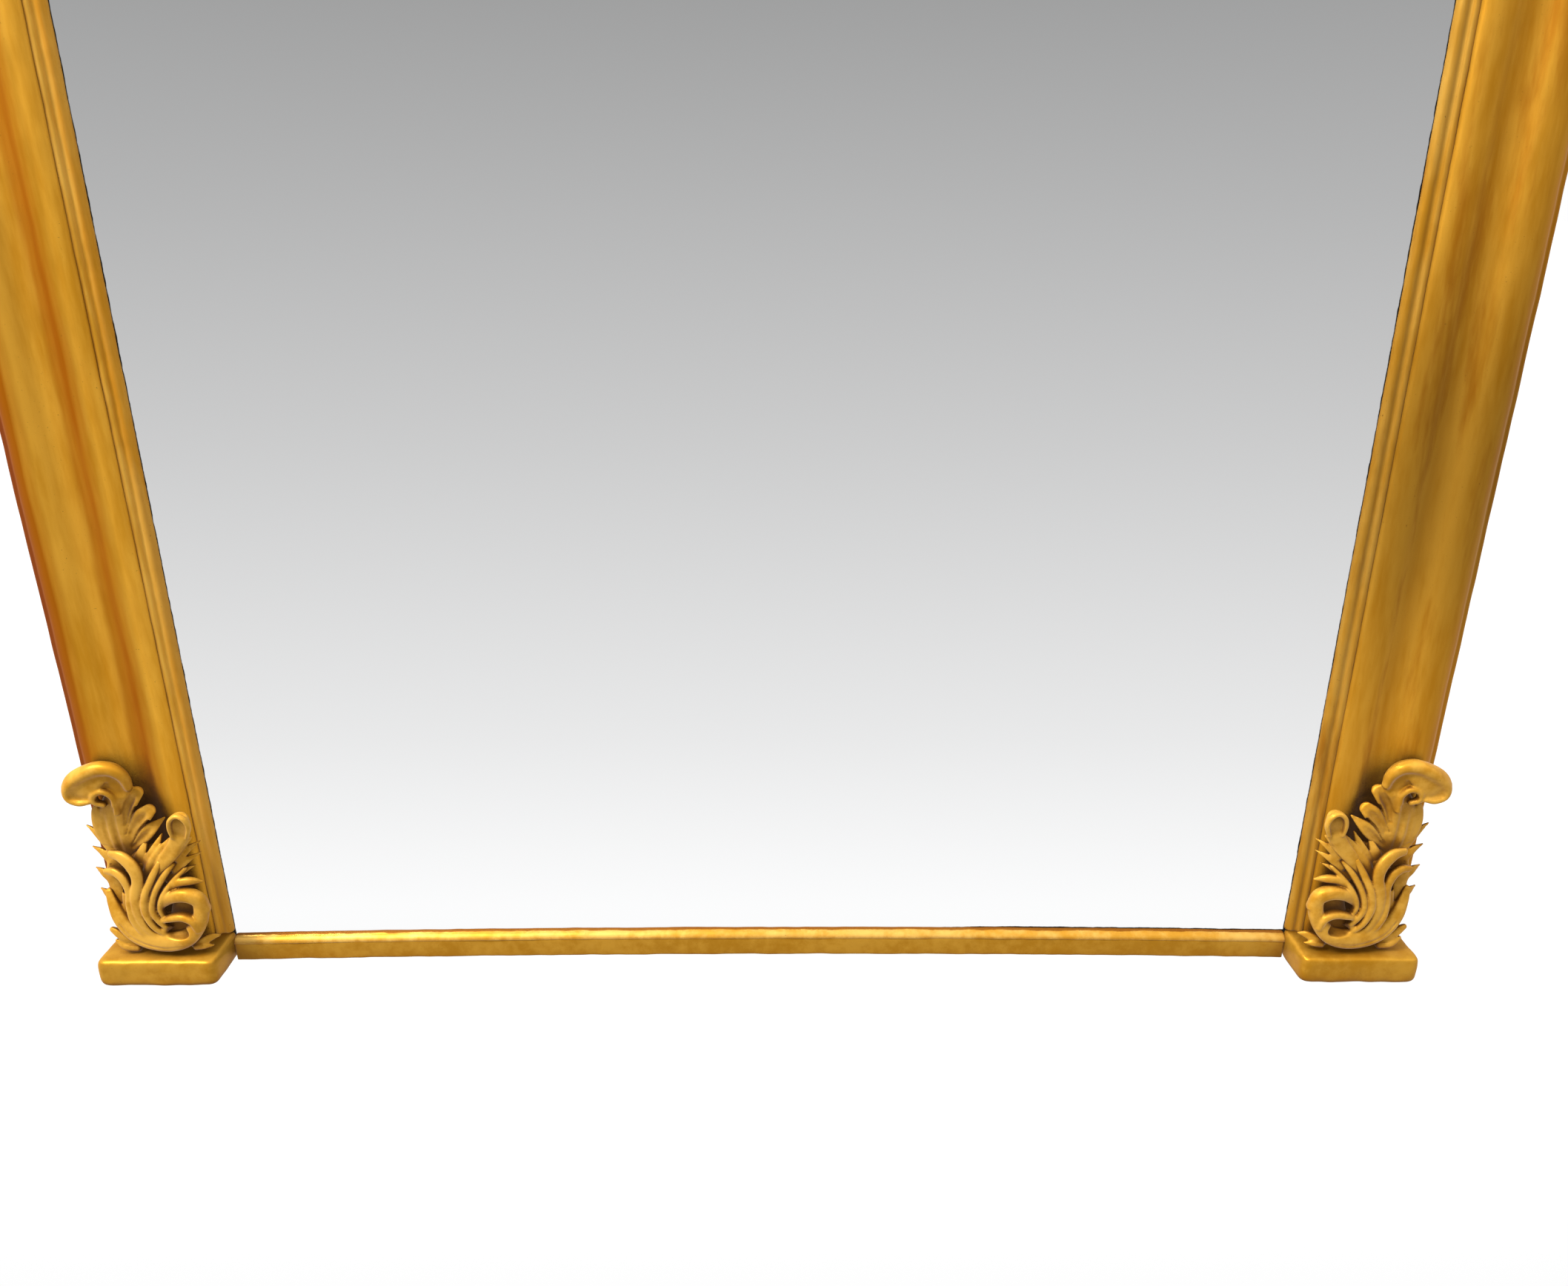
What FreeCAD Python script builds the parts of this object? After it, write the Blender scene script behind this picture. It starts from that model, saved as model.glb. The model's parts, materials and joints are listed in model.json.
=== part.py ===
import FreeCAD, Part
import Sketcher
import math
import os

# Giltwood overmantel mirror: a pine carcass carries gilded mouldings round a tall glass with
# rounded shoulders. The frame stands on two foot blocks, each with a spray of acanthus leaves
# in front of the side moulding, and two sprays meet at a shell on the top rail.
# X runs to the right, Y to the wall and Z up. The origin is under the middle of the object.

SIZES = (
    ("sight_width", 1150.0, "glass seen between the side slips"),
    ("sight_height", 1420.0, "glass seen between the bottom and top slips"),
    ("sight_base", 27.5, "bottom sight edge above the floor"),
    ("shoulder_radius", 190.0, "sight edge radius of the rounded top corners"),
    ("glass_thickness", 5.0, "mirror plate"),
    ("glass_lap", 8.0, "plate hidden behind the slips"),
    ("glass_gap", 2.0, "play between plate and carcass"),
    ("sight_edge", 2.5, "thickness of the slips at the sight edge"),
    ("bead_width", 6.0, "bead of the slip"),
    ("bead_height", 8.0, "back of the bead"),
    ("groove_width", 5.0, "flat between bead and slip fillet"),
    ("groove_height", 7.0, "flat in front of the carcass"),
    ("slip_fillet_width", 5.0, "raised outer edge of the slip"),
    ("slip_fillet_height", 10.5, "slip fillet in front of the carcass"),
    ("hump_width", 26.0, "inner rounded member of the moulding"),
    ("hump_foot_height", 13.0, "hump beside the slip"),
    ("hump_end_height", 17.0, "hump beside the hollow"),
    ("hollow_width", 30.0, "hollow of the moulding"),
    ("hollow_end_height", 18.0, "hollow beside the cushion"),
    ("cushion_width", 40.0, "broad outer rounded member"),
    ("cushion_foot_height", 11.0, "cushion beside the quirk"),
    ("quirk_width", 2.5, "narrow groove outside the cushion"),
    ("quirk_height", 8.0, "floor of the quirk"),
    ("fillet_width", 4.5, "flat outer edge of the frame"),
    ("fillet_height", 9.5, "outer edge in front of the carcass"),
    ("fascia_height", 21.0, "flat face of the bottom rail"),
    ("fascia_depth", 12.0, "bottom rail in front of the carcass"),
    ("block_height", 32.0, "foot block"),
    ("block_depth", 59.0, "foot block in front of the carcass"),
    ("block_overhang", 4.0, "foot block beyond the outer edge"),
    ("block_inset", 2.0, "foot block past the sight edge"),
    ("block_corner_radius", 8.0, "upright front corners of the foot block"),
    ("block_edge_radius", 3.0, "level edges of the foot block"),
    ("carcass_thickness", 28.0, "pine carcass"),
    ("rebate_width", 10.0, "ledge that the backboards lie on"),
    ("board_thickness", 8.0, "backboards"),
    ("board_gap", 1.0, "room between and round the backboards"),
    ("dowel_diameter", 8.0, "carcass dowels"),
    ("dowel_length", 48.0, "carcass dowels"),
    ("wedge_length", 40.0, "glazing blocks along the edge"),
    ("wedge_width", 9.0, "glazing blocks over the glass"),
    ("wedge_depth", 10.0, "glazing blocks behind the glass"),
    ("brad_head", 3.2, "backboard brads at the head"),
    ("brad_point", 1.0, "brads at the point"),
    ("brad_length", 18.0, "backboard brads"),
    ("pin_head", 2.4, "ornament pins at the head"),
    ("pin_length", 24.0, "ornament pins"),
    ("foot_screw_length", 58.0, "screws through the carcass into the foot blocks"),
    ("hanger_screw_length", 18.0, "screws of the hanger straps"),
    ("screw_head", 7.0, "screw head across"),
    ("screw_head_depth", 2.4, "countersunk head"),
    ("screw_shank", 3.6, "screw shank across"),
    ("ornament_width", 120.0, "foot spray across the moulding"),
    ("ornament_height", 228.0, "foot spray above its block"),
    ("leaf_back", 14.0, "back of the foot leaves before scribing"),
    ("leaf_front", 36.0, "front of the leaves"),
    ("scroll_depth", 17.0, "scroll leaf in front of the other leaves"),
    ("sprig_depth", 10.0, "base sprigs behind the scroll leaf"),
    ("curl_radius", 17.0, "boss of the rolled top curl"),
    ("small_curl_radius", 8.0, "boss of the inner leaf's curl"),
    ("boss_height", 8.0, "bosses in front of their leaf"),
    ("eye_radius", 12.0, "eye of the lower volute"),
    ("eye_depth", 7.0, "eye sunk in the volute"),
    ("crest_rise", 76.0, "crest sprays above the frame"),
    ("shell_width", 122.0, "shell in the middle of the crest"),
    ("shell_height", 186.0, "shell from bottom to top"),
    ("shell_rise", 118.0, "shell above the frame"),
    ("shell_depth", 44.0, "shell in front of the carcass"),
    ("cabochon_radius", 19.0, "oval boss of the shell"),
    ("backing_width", 380.0, "board behind the crest"),
    ("backing_height", 44.0, "board behind the crest above the frame"),
    ("backing_thickness", 15.0, "board behind the crest"),
    ("strap_thickness", 1.5, "hanger strap"),
    ("strap_width", 14.0, "hanger strap"),
    ("strap_length", 46.0, "hanger strap above its loop"),
    ("hanger_drop", 110.0, "hanger loops below the shoulder joint"),
    ("ring_wire", 4.0, "wire of the hanging rings"),
    ("ring_play", 0.2, "ring wire in the strap loop"),
    ("ring_radius", 14.0, "bow of the hanging rings to the wire's middle"),
    ("ring_corner_radius", 4.5, "corners of the hanging rings"),
)

# How far a stretch bows from its chord, as a share of the chord.
quarter_bow_share = math.tan(math.pi / 8) / 2
hump_bow_share = 0.13
hollow_bow_share = -0.15
cushion_bow_share = 0.26
bead_bow_share = 0.22
bottom_bead_bow_share = 0.16

# Leaf outlines of the left foot spray, counter-clockwise: across from the outer edge and up
# from the block, as shares of the spray's width and height, then the bow of the next stretch.
crook_leaf_shares = (
    (0.217, 0.518, 0.05), (0.467, 0.535, 0.04), (0.70, 0.671, -0.10), (0.617, 0.675, 0.22),
    (0.658, 0.728, -0.05), (0.55, 0.737, 0.20), (0.592, 0.838, -0.05), (0.517, 0.825, 0.08),
    (0.517, 0.895, 0.20), (0.35, 1.0, 0.16), (0.10, 0.952, 0.20), (0.01, 0.86, 0.24),
    (0.075, 0.789, 0.16), (0.20, 0.798, -0.25), (0.258, 0.833, 0.04), (0.20, 0.737, -0.04),
)
outer_leaf_shares = (
    (0.25, 0.219, 0.05), (0.383, 0.316, 0.0), (0.367, 0.439, 0.04), (0.267, 0.553, 0.10),
    (0.017, 0.632, -0.12), (0.125, 0.561, 0.10), (0.017, 0.518, -0.12), (0.117, 0.478, 0.10),
    (0.0, 0.412, -0.12), (0.092, 0.368, 0.10), (0.008, 0.307, -0.12), (0.142, 0.254, 0.08),
)
inner_leaf_shares = (
    (0.517, 0.307, 0.0), (0.817, 0.289, 0.12), (0.90, 0.329, -0.10), (0.783, 0.368, 0.12),
    (0.825, 0.395, -0.05), (0.792, 0.417, 0.12), (0.90, 0.465, -0.10), (0.817, 0.482, 0.12),
    (0.917, 0.539, -0.10), (0.85, 0.57, -0.10), (0.958, 0.667, 0.22), (0.892, 0.732, 0.24),
    (0.80, 0.689, 0.10), (0.817, 0.636, -0.12), (0.667, 0.57, 0.10), (0.517, 0.491, 0.05),
    (0.45, 0.395, 0.04),
)
scroll_leaf_shares = (
    (0.433, 0.0, 0.0), (0.683, 0.0, 0.20), (0.90, 0.132, 0.04), (0.942, 0.202, 0.10),
    (0.983, 0.272, 0.22), (0.867, 0.351, 0.05), (0.70, 0.351, -0.06), (0.55, 0.404, -0.06),
    (0.50, 0.491, 0.10), (0.333, 0.535, 0.15), (0.20, 0.509, -0.10), (0.167, 0.43, -0.15),
    (0.108, 0.342, 0.05), (0.15, 0.246, 0.05), (0.167, 0.175, 0.06), (0.25, 0.07, 0.10),
)
left_sprig_shares = ((0.083, 0.0, 0.0), (0.333, 0.0, 0.0), (0.283, 0.06, -0.05), (0.092, 0.132, -0.10))
right_sprig_shares = ((0.80, 0.0, 0.0), (0.967, 0.0, -0.05), (1.0, 0.075, 0.05), (0.867, 0.075, 0.10))

# Middles of the round bosses and of the volute's eye in the same shares.
curl_middle_shares = (0.175, 0.88)
small_curl_middle_shares = (0.88, 0.675)
eye_middle_shares = (0.667, 0.118)

# Right half of the crest shell from its lower tip, as shares of its width and height.
shell_shares = (
    (0.0, 0.0, 0.04), (0.17, 0.08, 0.08), (0.29, 0.25, -0.10), (0.47, 0.36, 0.18),
    (0.42, 0.50, 0.16), (0.47, 0.66, 0.20), (0.35, 0.76, 0.14), (0.32, 0.89, 0.20),
    (0.15, 0.90, 0.16), (0.0, 1.0, 0.16),
)
cabochon_height_share = 0.40

# Places along the pieces, as shares of their lengths.
dowel_shares = (0.3, 0.75)
backing_dowel_share = 0.32
wedge_side_shares = (0.12, 0.37, 0.62, 0.85)
wedge_level_shares = (-0.3, 0.0, 0.3)
brad_shares = (0.12, 0.88)
top_brad_shares = (0.05, 0.2)
foot_screw_shares = (0.3, 0.75)
strap_screw_shares = (0.4, 0.8)
pin_shares = ((0.38, 0.62), (0.2, 0.46), (0.68, 0.46))
BOARD_COUNT = 5

doc = FreeCAD.newDocument("overmantel_mirror")
sheet = doc.addObject("Spreadsheet::Sheet", "Sizes")
for row, (alias, size, meaning) in enumerate(SIZES, start=1):
    sheet.set(f"A{row}", meaning)
    sheet.set(f"B{row}", str(size))
    sheet.setAlias(f"B{row}", alias)
doc.recompute()

# Lengths and planes that follow from the sheet, written as expressions.
HALF_SIGHT = "(Sizes.sight_width / 2)"
SLIP_WIDTH = "(Sizes.bead_width + Sizes.groove_width + Sizes.slip_fillet_width)"
HUMP_END = f"({SLIP_WIDTH} + Sizes.hump_width)"
HOLLOW_END = f"({HUMP_END} + Sizes.hollow_width)"
CUSHION_END = f"({HOLLOW_END} + Sizes.cushion_width)"
RAIL_WIDTH = f"({CUSHION_END} + Sizes.quirk_width + Sizes.fillet_width)"
FRAME_HALF = f"({HALF_SIGHT} + {RAIL_WIDTH})"
SIGHT_TOP = "(Sizes.sight_base + Sizes.sight_height)"
FRAME_TOP = f"({SIGHT_TOP} + {RAIL_WIDTH})"
SPRING = f"({SIGHT_TOP} - Sizes.shoulder_radius)"
ARC_MIDDLE = f"({HALF_SIGHT} - Sizes.shoulder_radius)"
CARCASS_EDGE = "(Sizes.glass_lap + Sizes.glass_gap)"
CARCASS_WIDTH = f"({RAIL_WIDTH} - {CARCASS_EDGE})"
LOOP_RADIUS = "(Sizes.ring_wire / 2 + Sizes.ring_play + Sizes.strap_thickness)"
BACK = f"((Sizes.carcass_thickness + Sizes.block_depth) / 2 - {LOOP_RADIUS})"
FRONT = f"({BACK} - Sizes.carcass_thickness)"
FLOOR_RAIL_HEIGHT = f"(Sizes.sight_base - {CARCASS_EDGE})"
BETWEEN_BLOCKS = f"({HALF_SIGHT} - Sizes.block_inset)"

nodes = {}


def value(expression):
    """Number that an expression of the sheet stands for."""
    return float(sheet.evalExpression(expression))


def bind(thing, expressions):
    """Tie properties of an object to expressions."""
    for name, expression in expressions.items():
        thing.setExpression(name, expression)
    return thing


def at(thing, x, y, z):
    """Tie the place of an object to three expressions."""
    return bind(thing, {"Placement.Base.x": x, "Placement.Base.y": y, "Placement.Base.z": z})


def turn(thing, axis, degrees):
    """Turn an object about one of the main axes."""
    thing.Placement.Rotation = FreeCAD.Rotation(axis, degrees)
    return thing


def node(label, thing):
    """Name a finished sub-part and list it for export."""
    thing.Label = label
    nodes[label] = thing
    return thing


def new_body(name, x, y, z):
    """Empty body at a place given in expressions."""
    return at(doc.addObject("PartDesign::Body", name), x, y, z)


def new_sketch(body, plane, lift="0"):
    """Sketch on one of the body's own origin planes, lifted along its normal."""
    sketch = body.newObject("Sketcher::SketchObject", f"{body.Name}_sketch")
    planes = [feature for feature in body.Origin.OriginFeatures if feature.Role == plane]
    sketch.AttachmentSupport = [(planes[0], "")]
    sketch.MapMode = "FlatFace"
    sketch.setExpression("AttachmentOffset.Base.z", lift)
    return sketch


def signed_area(points):
    """Area of a polygon, positive when it runs counter-clockwise."""
    following = points[1:] + points[:1]
    return sum(a.x * b.y - b.x * a.y for a, b in zip(points, following)) / 2


def stretch(start, end, bow):
    """Line or arc between two points; the bow is to the right of the way, as a share of the chord."""
    if bow == 0:
        return Part.LineSegment(start, end)
    chord = end - start
    middle = (start + end) / 2 + FreeCAD.Vector(chord.y, -chord.x, 0) * bow
    if bow > 0:
        return Part.Arc(start, middle, end)
    return Part.Arc(end, middle, start)


def draw_outline(sketch, corners):
    """Closed outline of lines and arcs through corners (x, y, bow outwards), all bound to the sheet."""
    points = [FreeCAD.Vector(value(x), value(y), 0) for x, y, bow in corners]
    way = math.copysign(1, signed_area(points))
    bows = [bow * way for x, y, bow in corners]
    count = len(corners)
    for index in range(count):
        sketch.addGeometry(stretch(points[index], points[(index + 1) % count], bows[index]), False)
    first_point = [1 if bow >= 0 else 2 for bow in bows]
    constraints = []
    expressions = {}
    for index, (x, y, bow) in enumerate(corners):
        before = (index - 1) % count
        here = first_point[index]
        constraints.append(Sketcher.Constraint("Coincident", before, 3 - first_point[before], index, here))
        expressions[len(constraints)] = x
        constraints.append(Sketcher.Constraint("DistanceX", -1, 1, index, here, points[index].x))
        expressions[len(constraints)] = y
        constraints.append(Sketcher.Constraint("DistanceY", -1, 1, index, here, points[index].y))
        if bow:
            next_x, next_y, _ = corners[(index + 1) % count]
            chord = f"sqrt((({next_x}) - ({x}))^2 + (({next_y}) - ({y}))^2)"
            radius = f"{chord} * {(0.25 + bow * bow) / (2 * abs(bow))}"
            expressions[len(constraints)] = radius
            constraints.append(Sketcher.Constraint("Radius", index, value(radius)))
    sketch.addConstraint(constraints)
    for index, expression in expressions.items():
        sketch.setExpression(f"Constraints[{index}]", expression)
    return sketch


def draw_circle(sketch, x, y, radius):
    """Circle whose middle and radius are bound to the sheet."""
    middle = FreeCAD.Vector(value(x), value(y), 0)
    sketch.addGeometry(Part.Circle(middle, FreeCAD.Vector(0, 0, 1), value(radius)), False)
    sketch.addConstraint([
        Sketcher.Constraint("DistanceX", -1, 1, 0, 3, middle.x),
        Sketcher.Constraint("DistanceY", -1, 1, 0, 3, middle.y),
        Sketcher.Constraint("Radius", 0, value(radius)),
    ])
    for index, expression in enumerate((x, y, radius)):
        sketch.setExpression(f"Constraints[{index}]", expression)
    return sketch


def pad(body, sketch, length):
    """Pad a sketch along its normal."""
    feature = body.newObject("PartDesign::Pad", f"{body.Name}_pad")
    feature.Profile = sketch
    return bind(feature, {"Length": length})


def box(name, corner, sides):
    """Box from its lowest corner and its three sides."""
    solid = at(doc.addObject("Part::Box", name), *corner)
    return bind(solid, dict(zip(("Length", "Width", "Height"), sides)))


def cylinder(name, middle, diameter, length):
    """Upright cylinder standing on a point."""
    solid = at(doc.addObject("Part::Cylinder", name), *middle)
    return bind(solid, {"Radius": f"({diameter}) / 2", "Height": length})


def cone(name, middle, diameter, end_diameter, length):
    """Upright cone standing on a point."""
    solid = at(doc.addObject("Part::Cone", name), *middle)
    return bind(solid, {"Radius1": f"({diameter}) / 2", "Radius2": f"({end_diameter}) / 2", "Height": length})


def along_x(solid):
    """Lay an upright solid along +X."""
    return turn(solid, FreeCAD.Vector(0, 1, 0), 90)


def into_frame(solid):
    """Lay an upright solid along -Y, from the back towards the front."""
    return turn(solid, FreeCAD.Vector(1, 0, 0), 90)


def into_wall_side(solid):
    """Lay an upright solid along +Y, from the front towards the back."""
    return turn(solid, FreeCAD.Vector(1, 0, 0), -90)


def fuse(name, *solids):
    """One solid from several that meet."""
    joined = doc.addObject("Part::MultiFuse", name)
    joined.Shapes = list(solids)
    return joined


def group(label, solids):
    """Node of separate solids of one kind."""
    together = doc.addObject("Part::Compound", label)
    together.Links = list(solids)
    return node(label, together)


def cut_by(name, solid, *tools):
    """Solid with other sub-parts cut out of it, one after another."""
    for index, tool in enumerate(tools):
        cut = doc.addObject("Part::Cut", f"{name}_cut_{index}")
        cut.Base = solid
        cut.Tool = tool
        solid = cut
    return solid


def mirrored(label, source):
    """Right-hand node as the mirror image of a left-hand one."""
    image = doc.addObject("Part::Mirroring", label)
    image.Source = source
    image.Base = FreeCAD.Vector(0, 0, 0)
    image.Normal = FreeCAD.Vector(1, 0, 0)
    return node(label, image)


def carcass_profile():
    """Carcass section: outwards from the sight edge, forwards from the carcass front."""
    ledge = f"({CARCASS_EDGE} + Sizes.rebate_width)"
    ledge_back = "(Sizes.board_thickness - Sizes.carcass_thickness)"
    return [
        (CARCASS_EDGE, ledge_back, 0), (ledge, ledge_back, 0), (ledge, "-Sizes.carcass_thickness", 0),
        (RAIL_WIDTH, "-Sizes.carcass_thickness", 0), (RAIL_WIDTH, "0", 0), (CARCASS_EDGE, "0", 0),
    ]


def moulding_profile():
    """Section of the main moulding: fillet, quirk, cushion, hollow and hump."""
    quirk_end = f"({CUSHION_END} + Sizes.quirk_width)"
    return [
        (SLIP_WIDTH, "0", 0), (RAIL_WIDTH, "0", 0), (RAIL_WIDTH, "Sizes.fillet_height", 0),
        (quirk_end, "Sizes.fillet_height", 0), (quirk_end, "Sizes.quirk_height", 0),
        (CUSHION_END, "Sizes.quirk_height", 0),
        (CUSHION_END, "Sizes.cushion_foot_height", cushion_bow_share),
        (HOLLOW_END, "Sizes.hollow_end_height", hollow_bow_share),
        (HUMP_END, "Sizes.hump_end_height", hump_bow_share), (SLIP_WIDTH, "Sizes.hump_foot_height", 0),
    ]


def slip_profile():
    """Section of the slip: fillet, flat and a bead down to the sight edge."""
    groove_end = "(Sizes.bead_width + Sizes.groove_width)"
    return [
        ("0", "0", 0), (SLIP_WIDTH, "0", 0), (SLIP_WIDTH, "Sizes.slip_fillet_height", 0),
        (groove_end, "Sizes.slip_fillet_height", 0), (groove_end, "Sizes.groove_height", 0),
        ("Sizes.bead_width", "Sizes.groove_height", 0),
        ("Sizes.bead_width", "Sizes.bead_height", bead_bow_share), ("0", "Sizes.sight_edge", 0),
    ]


def side_corners(profile):
    """Section as it stands on the left side, measured from the shoulder's middle."""
    return [(f"-(Sizes.shoulder_radius + {out})", f"-({ahead})", bow) for out, ahead, bow in profile]


def side_length(name, profile, foot):
    """Straight left-hand length from a foot height to the shoulder joint."""
    body = new_body(name, f"-{ARC_MIDDLE}", FRONT, foot)
    pad(body, draw_outline(new_sketch(body, "XY_Plane"), side_corners(profile)), f"{SPRING} - ({foot})")
    return body


def shoulder(name, profile):
    """Quarter ring from the left side to the top."""
    body = new_body(name, f"-{ARC_MIDDLE}", FRONT, SPRING)
    sketch = draw_outline(new_sketch(body, "XY_Plane"), side_corners(profile))
    ring = body.newObject("PartDesign::Revolution", f"{name}_revolution")
    ring.Profile = sketch
    ring.ReferenceAxis = (sketch, ["V_Axis"])
    ring.Angle = 90
    return body


def top_length(name, profile):
    """Straight length across the top."""
    body = new_body(name, f"-{ARC_MIDDLE}", FRONT, SPRING)
    corners = [(f"-({ahead})", f"Sizes.shoulder_radius + {out}", bow) for out, ahead, bow in profile]
    pad(body, draw_outline(new_sketch(body, "YZ_Plane"), corners), f"2 * {ARC_MIDDLE}")
    return body


def arched_panel(name, margin, foot, back, thickness):
    """Upright panel with rounded top corners, a margin wider than the sight opening all round."""
    body = new_body(name, "0", back, "0")
    half = f"({HALF_SIGHT} + {margin})"
    top = f"({SIGHT_TOP} + {margin})"
    corners = [
        (f"-{half}", foot, 0), (half, foot, 0), (half, SPRING, quarter_bow_share),
        (ARC_MIDDLE, top, 0), (f"-{ARC_MIDDLE}", top, quarter_bow_share), (f"-{half}", SPRING, 0),
    ]
    pad(body, draw_outline(new_sketch(body, "XZ_Plane"), corners), thickness)
    return body


def brad(name, x, z):
    """Tapered brad driven from the back of the frame."""
    return into_frame(cone(name, (x, BACK, z), "Sizes.brad_head", "Sizes.brad_point", "Sizes.brad_length"))


def wood_screw(name, x, surface, z, length):
    """Countersunk screw driven from the back, its head flush with a surface."""
    head = cone(f"{name}_head", (x, surface, z), "Sizes.screw_head", "Sizes.screw_shank", "Sizes.screw_head_depth")
    shank = cylinder(f"{name}_shank", (x, surface, z), "Sizes.screw_shank", length)
    return fuse(name, into_frame(head), into_frame(shank))


# Backboards lie in the rebate, one above another, with the top one rounded like the frame.
BOARD_MARGIN = f"({CARCASS_EDGE} + Sizes.rebate_width - Sizes.board_gap)"
BOARD_HALF = f"({HALF_SIGHT} + {BOARD_MARGIN})"
BOARD_FOOT = f"(Sizes.sight_base - {BOARD_MARGIN})"
BOARD_PITCH = f"(({SIGHT_TOP} + {BOARD_MARGIN} - {BOARD_FOOT} + Sizes.board_gap) / {BOARD_COUNT})"
BOARD_HEIGHT = f"({BOARD_PITCH} - Sizes.board_gap)"


def board_foot(index):
    """Lower edge of one backboard, counted from the bottom."""
    return f"({BOARD_FOOT} + {index} * {BOARD_PITCH})"


def make_backboard_brads():
    """Brads at both ends of every board, and two at the top of the last one."""
    brads = []
    ledge_middle = f"({HALF_SIGHT} + {CARCASS_EDGE} + Sizes.rebate_width / 2)"
    for index in range(BOARD_COUNT):
        heights = top_brad_shares if index == BOARD_COUNT - 1 else brad_shares
        for place, share in enumerate(heights):
            height = f"{board_foot(index)} + {BOARD_HEIGHT} * {share}"
            for side, sign in (("left", "-"), ("right", "")):
                brads.append(brad(f"{side}_brad_{index}_{place}", f"{sign}{ledge_middle}", height))
    top_height = f"{SIGHT_TOP} + {CARCASS_EDGE} + Sizes.rebate_width / 2"
    for place, share in enumerate((wedge_level_shares[0], wedge_level_shares[-1])):
        brads.append(brad(f"top_brad_{place}", f"Sizes.sight_width * {share}", top_height))
    return group("backboard_brads", brads)


def make_carcass_dowels():
    """Dowels across the six joints of the carcass, and two under the crest board."""
    dowels = []
    middle = f"({FRONT} + (Sizes.carcass_thickness - Sizes.board_thickness) / 2)"
    diameter = "Sizes.dowel_diameter"
    length = "Sizes.dowel_length"
    for side, sign in (("left", "-"), ("right", "")):
        joint = f"{sign}({HALF_SIGHT} + {CARCASS_EDGE}) - {length} / 2"
        low = cylinder(f"{side}_low_dowel", (joint, middle, f"{FLOOR_RAIL_HEIGHT} / 2"), diameter, length)
        dowels.append(along_x(low))
        for place, share in enumerate(dowel_shares):
            out = f"({CARCASS_EDGE} + {CARCASS_WIDTH} * {share})"
            upright = (f"{sign}({HALF_SIGHT} + {out})", middle, f"{SPRING} - {length} / 2")
            dowels.append(cylinder(f"{side}_stile_dowel_{place}", upright, diameter, length))
            level = (f"{sign}{ARC_MIDDLE} - {length} / 2", middle, f"{SIGHT_TOP} + {out}")
            dowels.append(along_x(cylinder(f"{side}_top_dowel_{place}", level, diameter, length)))
        crest_x = f"{sign}Sizes.backing_width * {backing_dowel_share}"
        standing = (crest_x, f"{FRONT} + Sizes.backing_thickness / 2", f"{FRAME_TOP} - {length} / 2")
        dowels.append(cylinder(f"{side}_crest_dowel", standing, diameter, length))
    return group("carcass_dowels", dowels)


def make_foot_screws():
    """Screws from the back through each stile into its foot block."""
    screws = []
    for side, sign in (("left", "-"), ("right", "")):
        for place, share in enumerate(foot_screw_shares):
            x = f"{sign}({HALF_SIGHT} + {CARCASS_EDGE} + {CARCASS_WIDTH} * {share})"
            name = f"{side}_foot_screw_{place}"
            screws.append(wood_screw(name, x, BACK, "Sizes.block_height / 2", "Sizes.foot_screw_length"))
    return group("foot_block_screws", screws)


# Hanger straps sit on the middle of each stile, below the shoulder joint.
HANGER_X = f"({HALF_SIGHT} + {CARCASS_EDGE} + {CARCASS_WIDTH} / 2)"
HANGER_Z = f"({SPRING} - Sizes.hanger_drop)"
LOOP_Y = f"({BACK} + {LOOP_RADIUS})"


def make_hanger_screws():
    """Two screws in each hanger strap."""
    screws = []
    surface = f"({BACK} + Sizes.strap_thickness)"
    for side, sign in (("left", "-"), ("right", "")):
        for place, share in enumerate(strap_screw_shares):
            height = f"{HANGER_Z} + Sizes.strap_length * {share}"
            name = f"{side}_hanger_screw_{place}"
            screws.append(wood_screw(name, f"{sign}{HANGER_X}", surface, height, "Sizes.hanger_screw_length"))
    return group("hanger_screws", screws)


def make_carcass(dowels, brads, foot_screws, hanger_screws):
    """Pine stiles, rails and shoulder boards, rebated for the backboards."""
    stile = side_length("stile_blank", carcass_profile(), "0")
    bored = cut_by("left_stile", stile, dowels, brads, foot_screws, hanger_screws)
    mirrored("right_stile", node("left_stile", bored))
    board = cut_by("left_shoulder", shoulder("shoulder_blank", carcass_profile()), dowels)
    mirrored("right_shoulder_board", node("left_shoulder_board", board))
    top = cut_by("top_rail", top_length("top_rail_blank", carcass_profile()), dowels, brads)
    node("top_carcass_rail", top)
    rail = new_body("floor_rail_blank", f"-({HALF_SIGHT} + {CARCASS_EDGE})", FRONT, "0")
    ledge = f"({FLOOR_RAIL_HEIGHT} - Sizes.rebate_width)"
    ledge_back = "(Sizes.carcass_thickness - Sizes.board_thickness)"
    corners = [
        ("0", "0", 0), ("Sizes.carcass_thickness", "0", 0), ("Sizes.carcass_thickness", ledge, 0),
        (ledge_back, ledge, 0), (ledge_back, FLOOR_RAIL_HEIGHT, 0), ("0", FLOOR_RAIL_HEIGHT, 0),
    ]
    length = f"2 * ({HALF_SIGHT} + {CARCASS_EDGE})"
    pad(rail, draw_outline(new_sketch(rail, "YZ_Plane"), corners), length)
    node("bottom_carcass_rail", cut_by("floor_rail", rail, dowels))


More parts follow.
